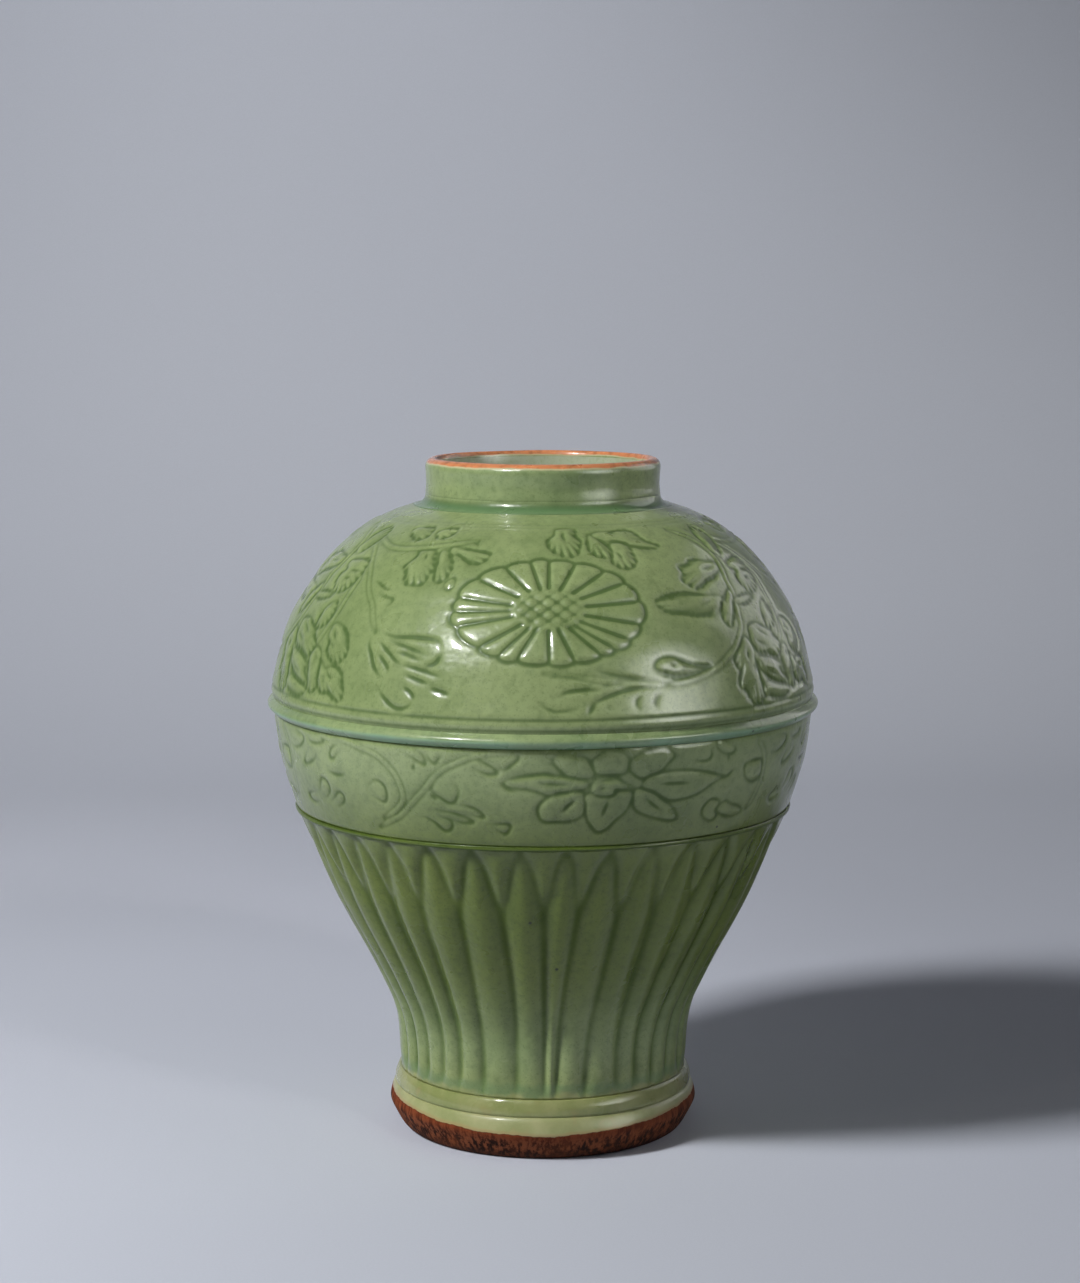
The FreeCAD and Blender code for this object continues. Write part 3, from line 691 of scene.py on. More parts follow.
def band_left(skin, depth):
    """The buds and leaves left of the lily."""
    for points in (
        [(-29.5, 46), (-27, 46), (-25, 44.5), (-24.3, 42), (-24, 39), (-25.5, 40), (-28, 43), (-30, 45)],
        [(-22.5, 46.5), (-23.5, 45), (-23.2, 42), (-22, 39.5), (-21, 42.5), (-20.3, 45), (-20.7, 46.5)],
        [(-16, 42), (-14, 43), (-12, 41.5), (-10, 39), (-9, 36.5), (-11, 36), (-13.5, 38), (-15.5, 40)],
        [(-10.5, 44.5), (-8.5, 45.5), (-5, 45), (-5, 43), (-6.5, 40), (-8, 38), (-9, 41), (-10, 43.5)],
        [(-19, 31.5), (-17.5, 29.5), (-17.3, 26), (-18.2, 22), (-19.3, 21), (-21, 23), (-23, 26.5),
         (-22.5, 29), (-21, 31)],
        [(-19, 19.5), (-17, 20.5), (-14.5, 19.3), (-12.8, 17), (-12.3, 14.5), (-14.5, 15.5),
         (-17.5, 17.5)],
        [(-25, 15.5), (-23, 17), (-19.5, 16.3), (-16.5, 14.5), (-14.5, 12), (-17, 11.5), (-20, 13.5),
         (-23, 14.2)],
        [(-28, 12.5), (-25.5, 13), (-23.5, 11), (-22, 8), (-20.8, 6.5), (-19.5, 8.5), (-19.5, 11.5),
         (-21, 13.5), (-24, 14.8)],
        [(-13, 12), (-10, 11.5), (-7, 11.5), (-7, 9), (-8, 6.5), (-10, 9), (-12, 10)],
        [(-56.5, 46.5), (-57, 44.5), (-56, 42), (-53.5, 42), (-51, 43.5), (-52.5, 45.5), (-54.5, 46.5)],
        [(-44, 43.5), (-47, 43), (-48.7, 40.5), (-49.3, 36.5), (-48, 36.5), (-46.5, 39.5), (-44.5, 41.3)],
        [(-57, 38.5), (-59, 34), (-60, 30.5), (-58, 31), (-55.5, 33.5), (-54.3, 36.5), (-55, 39.5)],
        [(-38.8, 25), (-36.8, 29), (-34.6, 27.5), (-34, 23), (-34.8, 18.5), (-37, 20), (-38.7, 22)],
        [(-55.5, 14), (-52.7, 16.5), (-51.3, 20), (-51.8, 24), (-53.5, 25), (-54.5, 22.5), (-55.3, 19),
         (-57, 16.5)],
        [(-53, 12.5), (-50.5, 16), (-48.5, 19.5), (-47.2, 19), (-47, 16), (-48.7, 13), (-51.5, 11.3)],
        [(-57, 17), (-59.5, 16), (-62, 13.5), (-60, 11), (-56, 12.5)],
        [(-67, 43), (-64, 45), (-60, 44.5), (-59, 42), (-61, 38.5), (-64, 37), (-67, 39)],
    ):
        skin.stroke(points, 0.85, depth)


# The grooves between the petals that the front shows: angle at the tips and at the foot.
FRONT_GROOVES = [
    (-63, -62), (-53, -52.7), (-42, -43.6), (-32, -35.3), (-21.5, -24), (-10.5, -10), (0.5, 1),
    (10, 4.3), (20.5, 16.5), (30.5, 29.8), (41.5, 39), (52.5, 48.5), (62.5, 58),
]

# Height of the petals' tips, and how far below it a petal has its full width, in millimetres.
PETAL_TIP = 158
PETAL_TAPER = 34

# Pits in the petals: angle in degrees, and height, size and depth in millimetres.
PETAL_PITS = [(-1.5, 124, 1.9, 0.9), (4, 98, 1.2, 0.8)]


def petal_grooves():
    """The grooves all the way round: those of the front, and the hidden ones spread evenly."""
    random = np.random.default_rng(7)
    hidden = PETALS - len(FRONT_GROOVES)
    first = np.array(FRONT_GROOVES[-1], float)
    last = np.array(FRONT_GROOVES[0], float) + 360
    shares = (np.arange(1, hidden + 1) / (hidden + 1))[:, None]
    rest = first + (last - first) * shares + random.uniform(-1.3, 1.3, (hidden, 2))
    return np.vstack([FRONT_GROOVES, rest])


def petal_places(turn, climb):
    """For each place on the wall, its petal's number and the angles back and on to the next grooves."""
    back = np.full(turn.shape, 99.0)
    ahead = np.full(turn.shape, 99.0)
    owner = np.zeros(turn.shape)
    for index, (at_tip, at_foot) in enumerate(petal_grooves()):
        groove = at_foot + (at_tip - at_foot) * climb
        passed_by = (turn - groove) % 360
        owner = np.where(passed_by < back, index, owner)
        back = np.minimum(back, passed_by)
        ahead = np.minimum(ahead, (groove - turn) % 360)
    return owner, back, ahead


def petal_relief(outline, depth):
    """The ring of upright petals: relief in metres and pooling, for the whole turn."""
    height = outline[:, 1:] / MM
    radius = outline[:, :1] / MM
    foot = BEAD_TOP / MM
    turn = np.degrees(np.linspace(0, 2 * math.pi, PETAL_COLUMNS, endpoint=False) - math.pi / REPEATS)
    turn = np.repeat(turn[None, :], len(outline), 0)
    owner, back, ahead = petal_places(turn, ramp(height, foot, WAIST_LOW / MM))
    share = (back - ahead) / (back + ahead)
    half = np.radians(back + ahead) / 2 * radius
    tip = PETAL_TIP + 1.1 * np.sin(owner * 2.3)
    fall = ramp(height, tip, tip - PETAL_TAPER)
    reach = fall ** 0.62
    edge = (reach - np.abs(share)) * half
    above_foot = height - (foot + 0.9 + 1.7 * share ** 2)
    edge = np.where(np.abs(edge) < np.abs(above_foot), edge, above_foot)

    # A petal falls away to its grooves, and between the tips a lower petal shows.
    groove = 0.85 + 0.15 * np.sin(owner * 1.9 + 0.05 * height)
    round_side = np.clip(np.abs(share) / np.clip(reach, 0.05, 1), 0, 1) ** 2.6
    flank = bell(np.clip(edge, 0, None), 0.46 * half, 1.5)
    ridge = 0.25 * bell(share * half, 1.6) * ramp(height, 70, 130) * fall
    on_petal = ridge - depth * groove * (0.3 * round_side + 0.7 * flank)
    hidden_reach = 0.62 * ramp(height, tip + 1.5, tip + 1.5 - PETAL_TAPER) ** 0.8
    hidden_petal = np.clip((hidden_reach - (1 - np.abs(share))) * half, 0, 1)
    between = 0.3 * hidden_petal - 0.4 - (depth - 0.4) * bell(edge, 1.3, 1)
    relief = np.where(edge > 0, on_petal, between) * (0.3 + 0.7 * ramp(height, foot, foot + 9))
    relief = relief + 0.25 * uneven(*relief.shape, 11, 6)
    for angle, place, size, deep in PETAL_PITS:
        across = np.radians((turn - angle + 180) % 360 - 180) * radius
        relief = relief - deep * bell(np.hypot(across, height - place), size)

    relief = soften(relief, 6)
    pooling = 0.8 * np.clip((soften(relief, 50) - soften(relief, 4)) / 0.75, -1, 1.6)
    return relief * MM, pooling


# Materials.

def tone(red, green, blue):
    """A screen colour from 0 to 255 as the linear colour that shaders use."""
    linear = []
    for part in (red, green, blue):
        part = part / 255
        linear.append(part / 12.92 if part <= 0.04045 else ((part + 0.055) / 1.055) ** 2.4)
    return (*linear, 1)


BURNT_ORANGE = tone(160, 100, 62)
IRON_BROWN = tone(44, 50, 26)


class Graph:
    """A material's nodes, made and joined by short calls."""

    def __init__(self, name):
        self.material = bpy.data.materials.new(name)
        self.material.use_nodes = True
        self.tree = self.material.node_tree
        self.place = self.add("ShaderNodeTexCoord").outputs["Object"]

    def put(self, socket, value):
        """Joins a node's output to a socket, or sets the socket's own value."""
        if isinstance(value, bpy.types.NodeSocket):
            self.tree.links.new(value, socket)
        else:
            socket.default_value = value

    def fill(self, node, **inputs):
        """Puts values on a node's sockets by their names."""
        for name, value in inputs.items():
            self.put(node.inputs[name.replace("_", " ")], value)
        return node

    def surface(self, **inputs):
        """Puts values on the shader's own sockets."""
        self.fill(self.tree.nodes["Principled BSDF"], **inputs)

    def add(self, kind, **inputs):
        """A new node with its values."""
        return self.fill(self.tree.nodes.new(kind), **inputs)

    def sum(self, kind, *values):
        """A sum such as ADD, MULTIPLY or MULTIPLY_ADD."""
        node = self.add("ShaderNodeMath")
        node.operation = kind
        for socket, value in zip(node.inputs, values):
            self.put(socket, value)
        return node.outputs[0]

    def range(self, value, low, high, start=0.0, end=1.0):
        """Goes smoothly from start to end while the value goes from low to high."""
        node = self.add("ShaderNodeMapRange", Value=value, From_Min=low, From_Max=high)
        self.fill(node, To_Min=start, To_Max=end)
        node.interpolation_type = "SMOOTHSTEP"
        return node.outputs["Result"]

    def noise(self, size, detail, rough=0.5, place=None):
        """Noise whose patches measure about size, in metres."""
        node = self.add("ShaderNodeTexNoise", Vector=place or self.place, Scale=1 / size)
        return self.fill(node, Detail=detail, Roughness=rough).outputs["Fac"]

    def mix(self, share, first, second, blend="MIX"):
        """The second colour over the first."""
        node = self.add("ShaderNodeMix")
        node.data_type = "RGBA"
        node.blend_type = blend
        for index, value in ((0, share), (6, first), (7, second)):
            self.put(node.inputs[index], value)
        return node.outputs[2]

    def patches(self, noise, low, high, first, second, most=1.0):
        """The second colour over the first where noise goes from low to high, with most at its end."""
        return self.mix(self.range(noise, low, high, 0, most), first, second)

    def height(self):
        """The height of each place."""
        return self.add("ShaderNodeSeparateXYZ", Vector=self.place).outputs["Z"]

    def away(self, spot):
        """The distance of each place from a spot."""
        node = self.add("ShaderNodeVectorMath")
        node.operation = "DISTANCE"
        self.put(node.inputs[0], self.place)
        self.put(node.inputs[1], spot)
        return node.outputs["Value"]

    def pooling(self):
        """How deep the glaze lies, as the shell's points carry it, with painted shade on the waist string.
        """
        node = self.add("ShaderNodeAttribute")
        node.attribute_name = "pooling"
        return node.outputs["Fac"]

    def bump(self, height, distance, before=None):
        """A bump map, over another one if there is one before it."""
        node = self.add("ShaderNodeBump", Height=height, Distance=distance, Strength=1.0)
        if before:
            self.put(node.inputs["Normal"], before)
        return node.outputs[0]


def on_wall(angle, radius, height):
    """A place on the vase, from an angle in degrees and a radius and height in metres."""
    turn = math.radians(angle)
    return (radius * math.sin(turn), -radius * math.cos(turn), height)


def petal_spot(angle, height):
    """A place on the petal wall at an angle and a height."""
    outline = wall(PETAL_WALL_SHARES, BEAD_TOP, WAIST_LOW, ANKLE, WAIST)
    return on_wall(angle, np.interp(height, outline[:, 1], outline[:, 0]) - 0.3 * MM, height)


def glaze_colour(graph, thin, middle, deep, pooling_and_shade=True):
    """The colour of a celadon glaze: clouds, pooling in the cuts, thin edges and specks."""
    colour = graph.patches(graph.noise(0.055, 4, 0.55), 0.32, 0.68, middle, thin)
    colour = graph.patches(graph.noise(0.012, 5, 0.6), 0.45, 0.8, colour, deep, 0.28)
    if pooling_and_shade:
        pooling = graph.pooling()
        colour = graph.patches(pooling, -0.05, 1.25, colour, deep, 0.78)
        colour = graph.patches(pooling, -0.05, -0.6, colour, thin, 0.5)
    colour = graph.patches(graph.noise(0.0034, 4, 0.6), 0.42, 0.78, colour, deep, 0.3)
    return graph.patches(graph.noise(0.001, 2), 0.56, 0.72, colour, deep, 0.28)


def glaze_gloss(graph, rough):
    """The soft gloss of a celadon glaze: a clear coat over a satin body, with a faint orange peel."""
    waves = graph.bump(graph.noise(0.009, 2), 0.0005)
    graph.surface(
        Roughness=graph.range(graph.noise(0.02, 3), 0.2, 0.8, rough - 0.06, rough + 0.08),
        Coat_Weight=0.5,
        Coat_Roughness=0.055,
        IOR=1.5,
        Normal=graph.bump(graph.noise(0.0018, 2), 0.00004, waves),
    )


def brown_spots(graph, colour, spots):
    """Small iron spots: place and size in metres."""
    for place, size in spots:
        colour = graph.patches(graph.away(place), size, 0.4 * size, colour, IRON_BROWN)
    return colour


def pale_glaze(graph):
    """The thin yellowish glaze low on the foot, with greener runs."""
    glaze = graph.patches(graph.noise(0.018, 4, 0.6), 0.3, 0.7, tone(168, 168, 122), tone(140, 148, 96))
    return graph.patches(graph.noise(0.009, 4), 0.55, 0.75, glaze, tone(170, 156, 112), 0.6)


def carved_glaze(name, settings):
    """The glaze of the carved walls, greener in the cuts, yellower near the foot, and with painted shade
    over the petals.
    """
    graph = Graph(name)
    colour = glaze_colour(graph, settings.thin_glaze, settings.glaze, settings.pooled_glaze)
    height = graph.height()

    # Warmer towards the foot, and over the petals a yellower glaze with painted shade that darkens it.
    warm = graph.mix(1.0, colour, tone(252, 246, 214), "MULTIPLY")
    colour = graph.mix(graph.range(height, 0.055, 0.03, 0, 0.6), colour, warm)
    # Painted shade: darker over the petals, with a yellower tint of the glaze.
    shaded_yellower = graph.mix(1.0, colour, tone(188, 194, 116), "MULTIPLY")
    petals = graph.sum("MULTIPLY", graph.range(height, 0.04, 0.1), graph.range(height, 0.2, 0.15, 0.05, 1))
    colour = graph.mix(petals, colour, shaded_yellower)

    # The pale glaze of the foot ends in a ragged teal edge at the bead.
    ragged = graph.sum("MULTIPLY_ADD", graph.noise(0.008, 3), 0.008, height)
    pale = graph.mix(1.0, pale_glaze(graph), tone(228, 232, 216), "MULTIPLY")
    colour = graph.mix(graph.range(ragged, 0.0375, 0.0335), colour, pale)
    rim = graph.sum("MULTIPLY", graph.range(ragged, 0.034, 0.0365), graph.range(ragged, 0.0425, 0.038))
    colour = graph.mix(graph.sum("MULTIPLY", rim, 0.35), colour, settings.teal_glaze)
    colour = brown_spots(graph, colour, [
        (petal_spot(-1.5, 0.124), 0.0017),
        (petal_spot(-3.2, 0.1228), 0.0012),
        (petal_spot(4, 0.098), 0.0011),
        (on_wall(41, WAIST + 1.6 * MM, 0.1655), 0.001),
        (on_wall(6, ANKLE + 2.6 * MM, 0.026), 0.0009),
    ])
    glaze_gloss(graph, 0.3)
    pooling = graph.pooling()
    sheen = graph.sum(
        "MULTIPLY", graph.range(pooling, 0.1, 0.9, 0.5, 0.25), graph.range(height, 0.13, 0.175, 0.55, 1)
    )
    graph.surface(
        Base_Color=colour, Coat_Weight=graph.range(pooling, 0.1, 0.9, 0.55, 0.12), Specular_IOR_Level=sheen
    )
    return graph.material


def lip_edge(graph):
    """The height, made ragged as the edge of a glaze is."""
    return graph.sum("MULTIPLY_ADD", graph.noise(0.011, 3), 0.0018, graph.height())


def burnt_lip(graph, colour, share, settings):
    """The orange of the lip, where the clay burnt."""
    orange = graph.patches(graph.noise(0.004, 4), 0.45, 0.75, settings.lip, BURNT_ORANGE)
    return graph.mix(share, colour, orange)


def ridge_glaze(name, settings, blue):
    """The glaze of the ridge and the neck, bluish where it lies thick, with the burnt lip."""
    graph = Graph(name)
    colour = glaze_colour(graph, settings.thin_glaze, settings.ridge_glaze, settings.pooled_glaze)
    height = graph.height()
    if blue:
        rise = RIDGE_TOP - RIDGE_LOW
        under_crest = graph.range(height, RIDGE_LOW + 0.66 * rise, RIDGE_LOW + 0.4 * rise, 0.12, 1)
        thick = graph.range(graph.noise(0.03, 3), 0.3, 0.75, 0.4 * blue, blue)
        colour = graph.mix(graph.sum("MULTIPLY", thick, under_crest), colour, tone(126, 166, 136))
    corner = graph.range(height, FILLET_TOP - 0.0005, SHOULDER_TOP + 0.001, 0, 0.6)
    above = graph.range(height, SHOULDER_TOP - 0.002, SHOULDER_TOP)
    colour = graph.mix(graph.sum("MULTIPLY", corner, above), colour, settings.teal_glaze)
    edge = lip_edge(graph)
    colour = graph.patches(edge, LIP - 0.0022, LIP - 0.0013, colour, tone(196, 184, 146), 0.75)
    colour = brown_spots(graph, colour, [(on_wall(46, GIRDLE + 2.3 * MM, RIDGE_LOW + 0.002), 0.001)])
    colour = burnt_lip(graph, colour, graph.range(edge, LIP - 0.0013, LIP - 0.0008), settings)
    glaze_gloss(graph, 0.3)
    graph.surface(Base_Color=colour)
    return graph.material


def inside_glaze(name, settings):
    """The pale glaze inside, with one iron spot and the burnt edge of the lip."""
    graph = Graph(name)
    colour = glaze_colour(graph, settings.inside, settings.inside, settings.glaze, False)
    colour = burnt_lip(graph, colour, graph.range(lip_edge(graph), LIP - 0.0002, LIP + 0.0004), settings)
    colour = brown_spots(graph, colour, [((0.002, MOUTH, LIP - 0.012), 0.0013)])
    glaze_gloss(graph, 0.32)
    graph.surface(Base_Color=colour)
    return graph.material


def foot_clay(name, settings):
    """The bare red-brown clay of the foot, with the edge where the glaze stopped."""
    graph = Graph(name)
    upright = graph.add("ShaderNodeMapping", Vector=graph.place, Scale=(1.3, 1.3, 0.12)).outputs[0]
    streaks = graph.noise(0.0028, 5, 0.66, upright)
    colour = graph.patches(streaks, 0.4, 0.58, settings.clay, tone(38, 21, 14))
    colour = graph.patches(graph.noise(0.018, 4), 0.45, 0.75, colour, tone(132, 70, 38), 0.6)
    # Darker towards the bottom of the foot.
    towards_bottom = graph.sum("MULTIPLY_ADD", graph.noise(0.007, 4), -0.012, graph.height())
    colour = graph.patches(towards_bottom, 0.001, -0.005, colour, tone(48, 28, 19), 0.65)
    grit = graph.noise(0.0009, 3)
    colour = graph.patches(grit, 0.58, 0.75, colour, tone(30, 17, 12), 0.5)

    # The glaze ends in a ragged line, which hangs lower in front than at the sides.
    across = graph.add("ShaderNodeSeparateXYZ", Vector=graph.place).outputs["X"]
    dip = graph.sum("MULTIPLY", graph.sum("MULTIPLY", across, across), -0.86)
    edge = graph.sum("ADD", graph.height(), dip)
    edge = graph.sum("MULTIPLY_ADD", graph.noise(0.016, 3), 0.0026, edge)
    edge = graph.sum("MULTIPLY_ADD", graph.noise(0.0022, 4), 0.0009, edge)
    colour = graph.patches(edge, 0.0095, 0.0145, colour, tone(118, 56, 30), 0.6)
    glaze = graph.patches(edge, 0.0150, 0.0172, tone(164, 144, 96), pale_glaze(graph))
    glazed = graph.range(edge, 0.0148, 0.0152)
    grain = graph.bump(graph.sum("MULTIPLY", grit, graph.sum("SUBTRACT", 1.0, glazed)), 0.0003)
    graph.surface(
        Base_Color=graph.mix(glazed, colour, glaze),
        Roughness=graph.sum("MULTIPLY_ADD", glazed, -0.55, 0.9),
        Specular_IOR_Level=graph.sum("MULTIPLY_ADD", glazed, 0.35, 0.15),
        Coat_Weight=graph.sum("MULTIPLY", glazed, 0.25),
        Coat_Roughness=0.1,
        Normal=graph.bump(glazed, 0.0005, grain),
    )
    return graph.material


def backdrop_paper(settings):
    """The plain cool grey sheet that the vase stands on, with a painted pool of light behind it and painted
    shade in its upper right corner.
    """
    graph = Graph("backdrop paper")
    colour = graph.patches(graph.noise(0.9, 2), 0.3, 0.7, settings.backdrop, tone(168, 172, 182), 0.25)
    # Painted light: a paler patch on the sheet behind the vase.
    colour = graph.patches(graph.away((0.25, 1.8, 0.5)), 1.6, 0.5, colour, tone(238, 242, 252), 0.92)
    # Painted shade: a darker patch in the sheet's upper right corner.
    colour = graph.patches(graph.away((1.15, 1.6, 1.7)), 1.65, 0.4, colour, tone(100, 103, 111), 0.92)
    grain = graph.noise(0.0012, 3)
    colour = graph.patches(grain, 0.3, 0.7, colour, tone(120, 124, 134), 0.04)
    graph.surface(Base_Color=colour, Roughness=0.9, Normal=graph.bump(grain, 0.00005))
    return graph.material


# Pieces.

def make_foot(settings):
    """The flared foot ring and the base inside it."""
    clay = foot_clay("foot clay", settings)
    within = inside_glaze("inside glaze of the foot", settings)
    edge = FOOT - 7.2 * MM
    outer = even(spline([
        (edge - 1.6 * MM, 0), (edge - 0.5 * MM, 0.45 * MM), (edge + 0.8 * MM, 1.5 * MM),
        (edge + 2.6 * MM, 4 * MM), (FOOT - 1.9 * MM, 9 * MM), (FOOT - 0.4 * MM, 12 * MM),
        (FOOT, 13.6 * MM), (FOOT - 0.3 * MM, 15.5 * MM), (FOOT - 0.95 * MM, 18 * MM),
        (FOOT - 1.9 * MM, 20.3 * MM), (FOOT - 2.75 * MM, 21.25 * MM), (FOOT - 3.4 * MM, FOOT_TOP),
    ]), 0.7 * MM)
    inner = np.array([
        (SEAT + 0.5 * MM, FOOT_TOP), (SEAT, FOOT_TOP + 0.2 * MM), (SEAT, FOOT_SEAM),
        (ANKLE_INSIDE, FOOT_SEAM_INSIDE), (ANKLE_INSIDE, 15 * MM), (ANKLE - 13 * MM, 12 * MM), (STAND, 0),
    ])
    relief = 0.16 * MM * uneven(len(outer), FOOT_COLUMNS, 3)
    relief[:3] = 0
    shell("bare_foot", "foot_ring", (clay, clay), outer, inner, relief)
    for node in ("base_dish", "base_glaze_seal"):
        part = frame["nodes"][node]
        part.data.materials.clear()
        part.data.materials.append(within)
    make_bead(settings, within)


def make_bead(settings, within):
    """The rounded bead over the seam between foot and wall."""
    share = np.linspace(0, 1, 22)
    bulge = 0.06 + 0.94 * (1 - share ** 2) ** 0.8 - 0.16 * bell(share, 0.07)
    outer = np.column_stack([ANKLE + 2.4 * MM * bulge, FOOT_TOP + (BEAD_TOP - FOOT_TOP) * share])
    belly = np.clip(np.sin(math.pi * share), 0, 1)[:, None]
    relief = 0.22 * MM * uneven(len(outer), BEAD_COLUMNS, 5, 7) * belly
    pooling = round_the_turn(0.35 * bell(share, 0.05) - 0.1, BEAD_COLUMNS)
    inner = np.array([(SEAT, BEAD_TOP), (SEAT, FOOT_TOP)])
    glaze = carved_glaze("bead glaze", settings)
    shell("foot_bead_coil", "foot_bead", (glaze, within), outer, inner, relief, pooling)


def make_petal_wall(settings):
    """The lower wall with its ring of upright petals."""
    outer = even(wall(PETAL_WALL_SHARES, BEAD_TOP, WAIST_LOW, ANKLE, WAIST), 1.15 * MM)
    relief, pooling = petal_relief(outer, settings.petal_depth / MM)
    inner = np.vstack([
        [(WAIST - 2.4 * MM, WAIST_LOW)],
        inner_wall(PETAL_WALL_INSIDE, FOOT_SEAM_INSIDE, WAIST_LOW, ANKLE_INSIDE, WAIST - 7.1 * MM, 12),
        [(SEAT, FOOT_SEAM), (SEAT, BEAD_TOP)],
    ])
    materials = (carved_glaze("petal glaze", settings), inside_glaze("inside glaze of the wall", settings))
    shell("petal_ring_wall", "petal_wall", materials, outer, inner, relief, pooling)


def make_coil(name, node, rise, glaze, seed, power, pooling_and_shade, settings):
    """One applied coil over a seam. Glaze lies deeper under it and over it, then the whole coil is darkened
    or lightened, in that order; on the waist string that last darkening is painted shade.
    """
    under, over, pooling_and_shade_all_over = pooling_and_shade
    low = level(node)
    high = level(node, top=True)
    base = widest(node) - rise - 0.1 * MM
    share = np.linspace(0, 1, 22)
    bulge = np.sin(math.pi * (0.03 + 0.94 * share)) ** power
    outer = np.column_stack([base + rise * bulge, low + (high - low) * share])
    relief = 0.1 * MM * uneven(len(outer), COIL_COLUMNS, seed, 7) * bulge[:, None]
    corner = np.where(share < 0.4, under, over) * (1 - bulge) ** 1.1
    pooling = round_the_turn(corner + pooling_and_shade_all_over, COIL_COLUMNS)
    inner = np.array([(base - 1.2 * MM, high), (base - 1.2 * MM, low)])
    materials = (glaze, inside_glaze(name + " inside", settings))
    shell(name, node, materials, outer, inner, relief, pooling)


def make_coils(settings):
    """The thin string at the waist and the raised ridge at the girdle."""
    green = carved_glaze("waist_coil glaze", settings)
    # The waist string's all-over 0.6 is painted shade that darkens the light on its upper face.
    make_coil("waist_coil", "waist_string", 0.4 * MM, green, 15, 0.75, (1.3, 0.6, 0.6), settings)
    blue = ridge_glaze("girdle_ridge glaze", settings, 0.8)
    make_coil("girdle_ridge", "girdle_coil", 3.2 * MM, blue, 17, 1.0, (1.3, 0.3, -0.1), settings)


def make_belly(settings):
    """The middle wall with its flower band."""
    skin = Skin(wall(BELLY_SHARES, WAIST_TOP, RIDGE_LOW, WAIST, GIRDLE - 0.3 * MM))
    carve_belly(skin, settings.belly_depth / MM)
    end = skin.along[-1]
    for place, width, depth in ((0.4, 0.8, 0.35), (end - 0.4, 0.9, 1.1), (end - 3, 0.4, 0.3)):
        skin.ring(place, width, depth)
    relief, pooling = skin.relief()
    relief = relief + 0.12 * MM * uneven(*relief.shape, 21, 6)
    inner = np.vstack([
        [(GIRDLE - 2 * MM, RIDGE_LOW), (GIRDLE_SEAT, GIRDLE_SEAM)],
        inner_wall(BELLY_SHARES, WAIST_TOP, BELLY_INSIDE_TOP, WAIST - 7 * MM, GIRDLE - 7 * MM, 5),
        [(WAIST - 2 * MM, WAIST_TOP)],
    ])
    materials = (carved_glaze("belly glaze", settings), inside_glaze("inside glaze of the belly", settings))
    shell("carved_belly", "belly_band", materials, skin.outline, inner, relief, pooling)


def make_shoulder(settings):
    """The upper wall: border band, groove and the flower scroll."""
    band = spline([
        (GIRDLE - 0.6 * MM, RIDGE_TOP - 0.3 * MM), (GIRDLE - 0.2 * MM, RIDGE_TOP + 0.5 * MM),
        (GIRDLE + 0.3 * MM, RIDGE_TOP + 1.5 * MM), (GIRDLE + 0.5 * MM, RIDGE_TOP + 3 * MM),
        (GIRDLE + 0.4 * MM, BAND_TOP - 0.6 * MM),
    ])
    field = wall(SHOULDER_SHARES, FIELD_LOW, SHOULDER_TOP, FIELD, NECK_ROOT)
    skin = Skin(np.vstack([band[:-1], field]))
    skin.along = skin.along - np.interp(BORDER, skin.outline[:, 1], skin.along)
    carve_shoulder(skin, settings.shoulder_depth / MM)
    for place, width, depth in ((0.3, 0.6, 0.8), (-4.6, 0.5, 0.7)):
        skin.ring(place, width, depth)
    relief, pooling = skin.relief()
    relief = relief + 0.15 * MM * uneven(*relief.shape, 31, 6)
    start = FIELD - 7.5 * MM
    climb = wall(SHOULDER_INSIDE, SHOULDER_INSIDE_LOW, NECK_CORNER, start, MOUTH + 4 * MM)
    inner = np.vstack([
        [(radius, SHOULDER_TOP) for radius in (NECK_ROOT - 2 * MM, NECK_ROOT - 6 * MM, MOUTH + 0.6 * MM)],
        even(climb, 3 * MM)[::-1],
        [(start, SHOULDER_INSIDE_LOW), (GIRDLE_SEAT, RIDGE_TOP - 0.4 * MM)],
    ])
    glaze = carved_glaze("shoulder glaze", settings)
    within = inside_glaze("inside glaze of the shoulder", settings)
    shell(
        "carved_shoulder", "shoulder_dome", (glaze, within), skin.outline, inner, relief,
        pooling,
    )


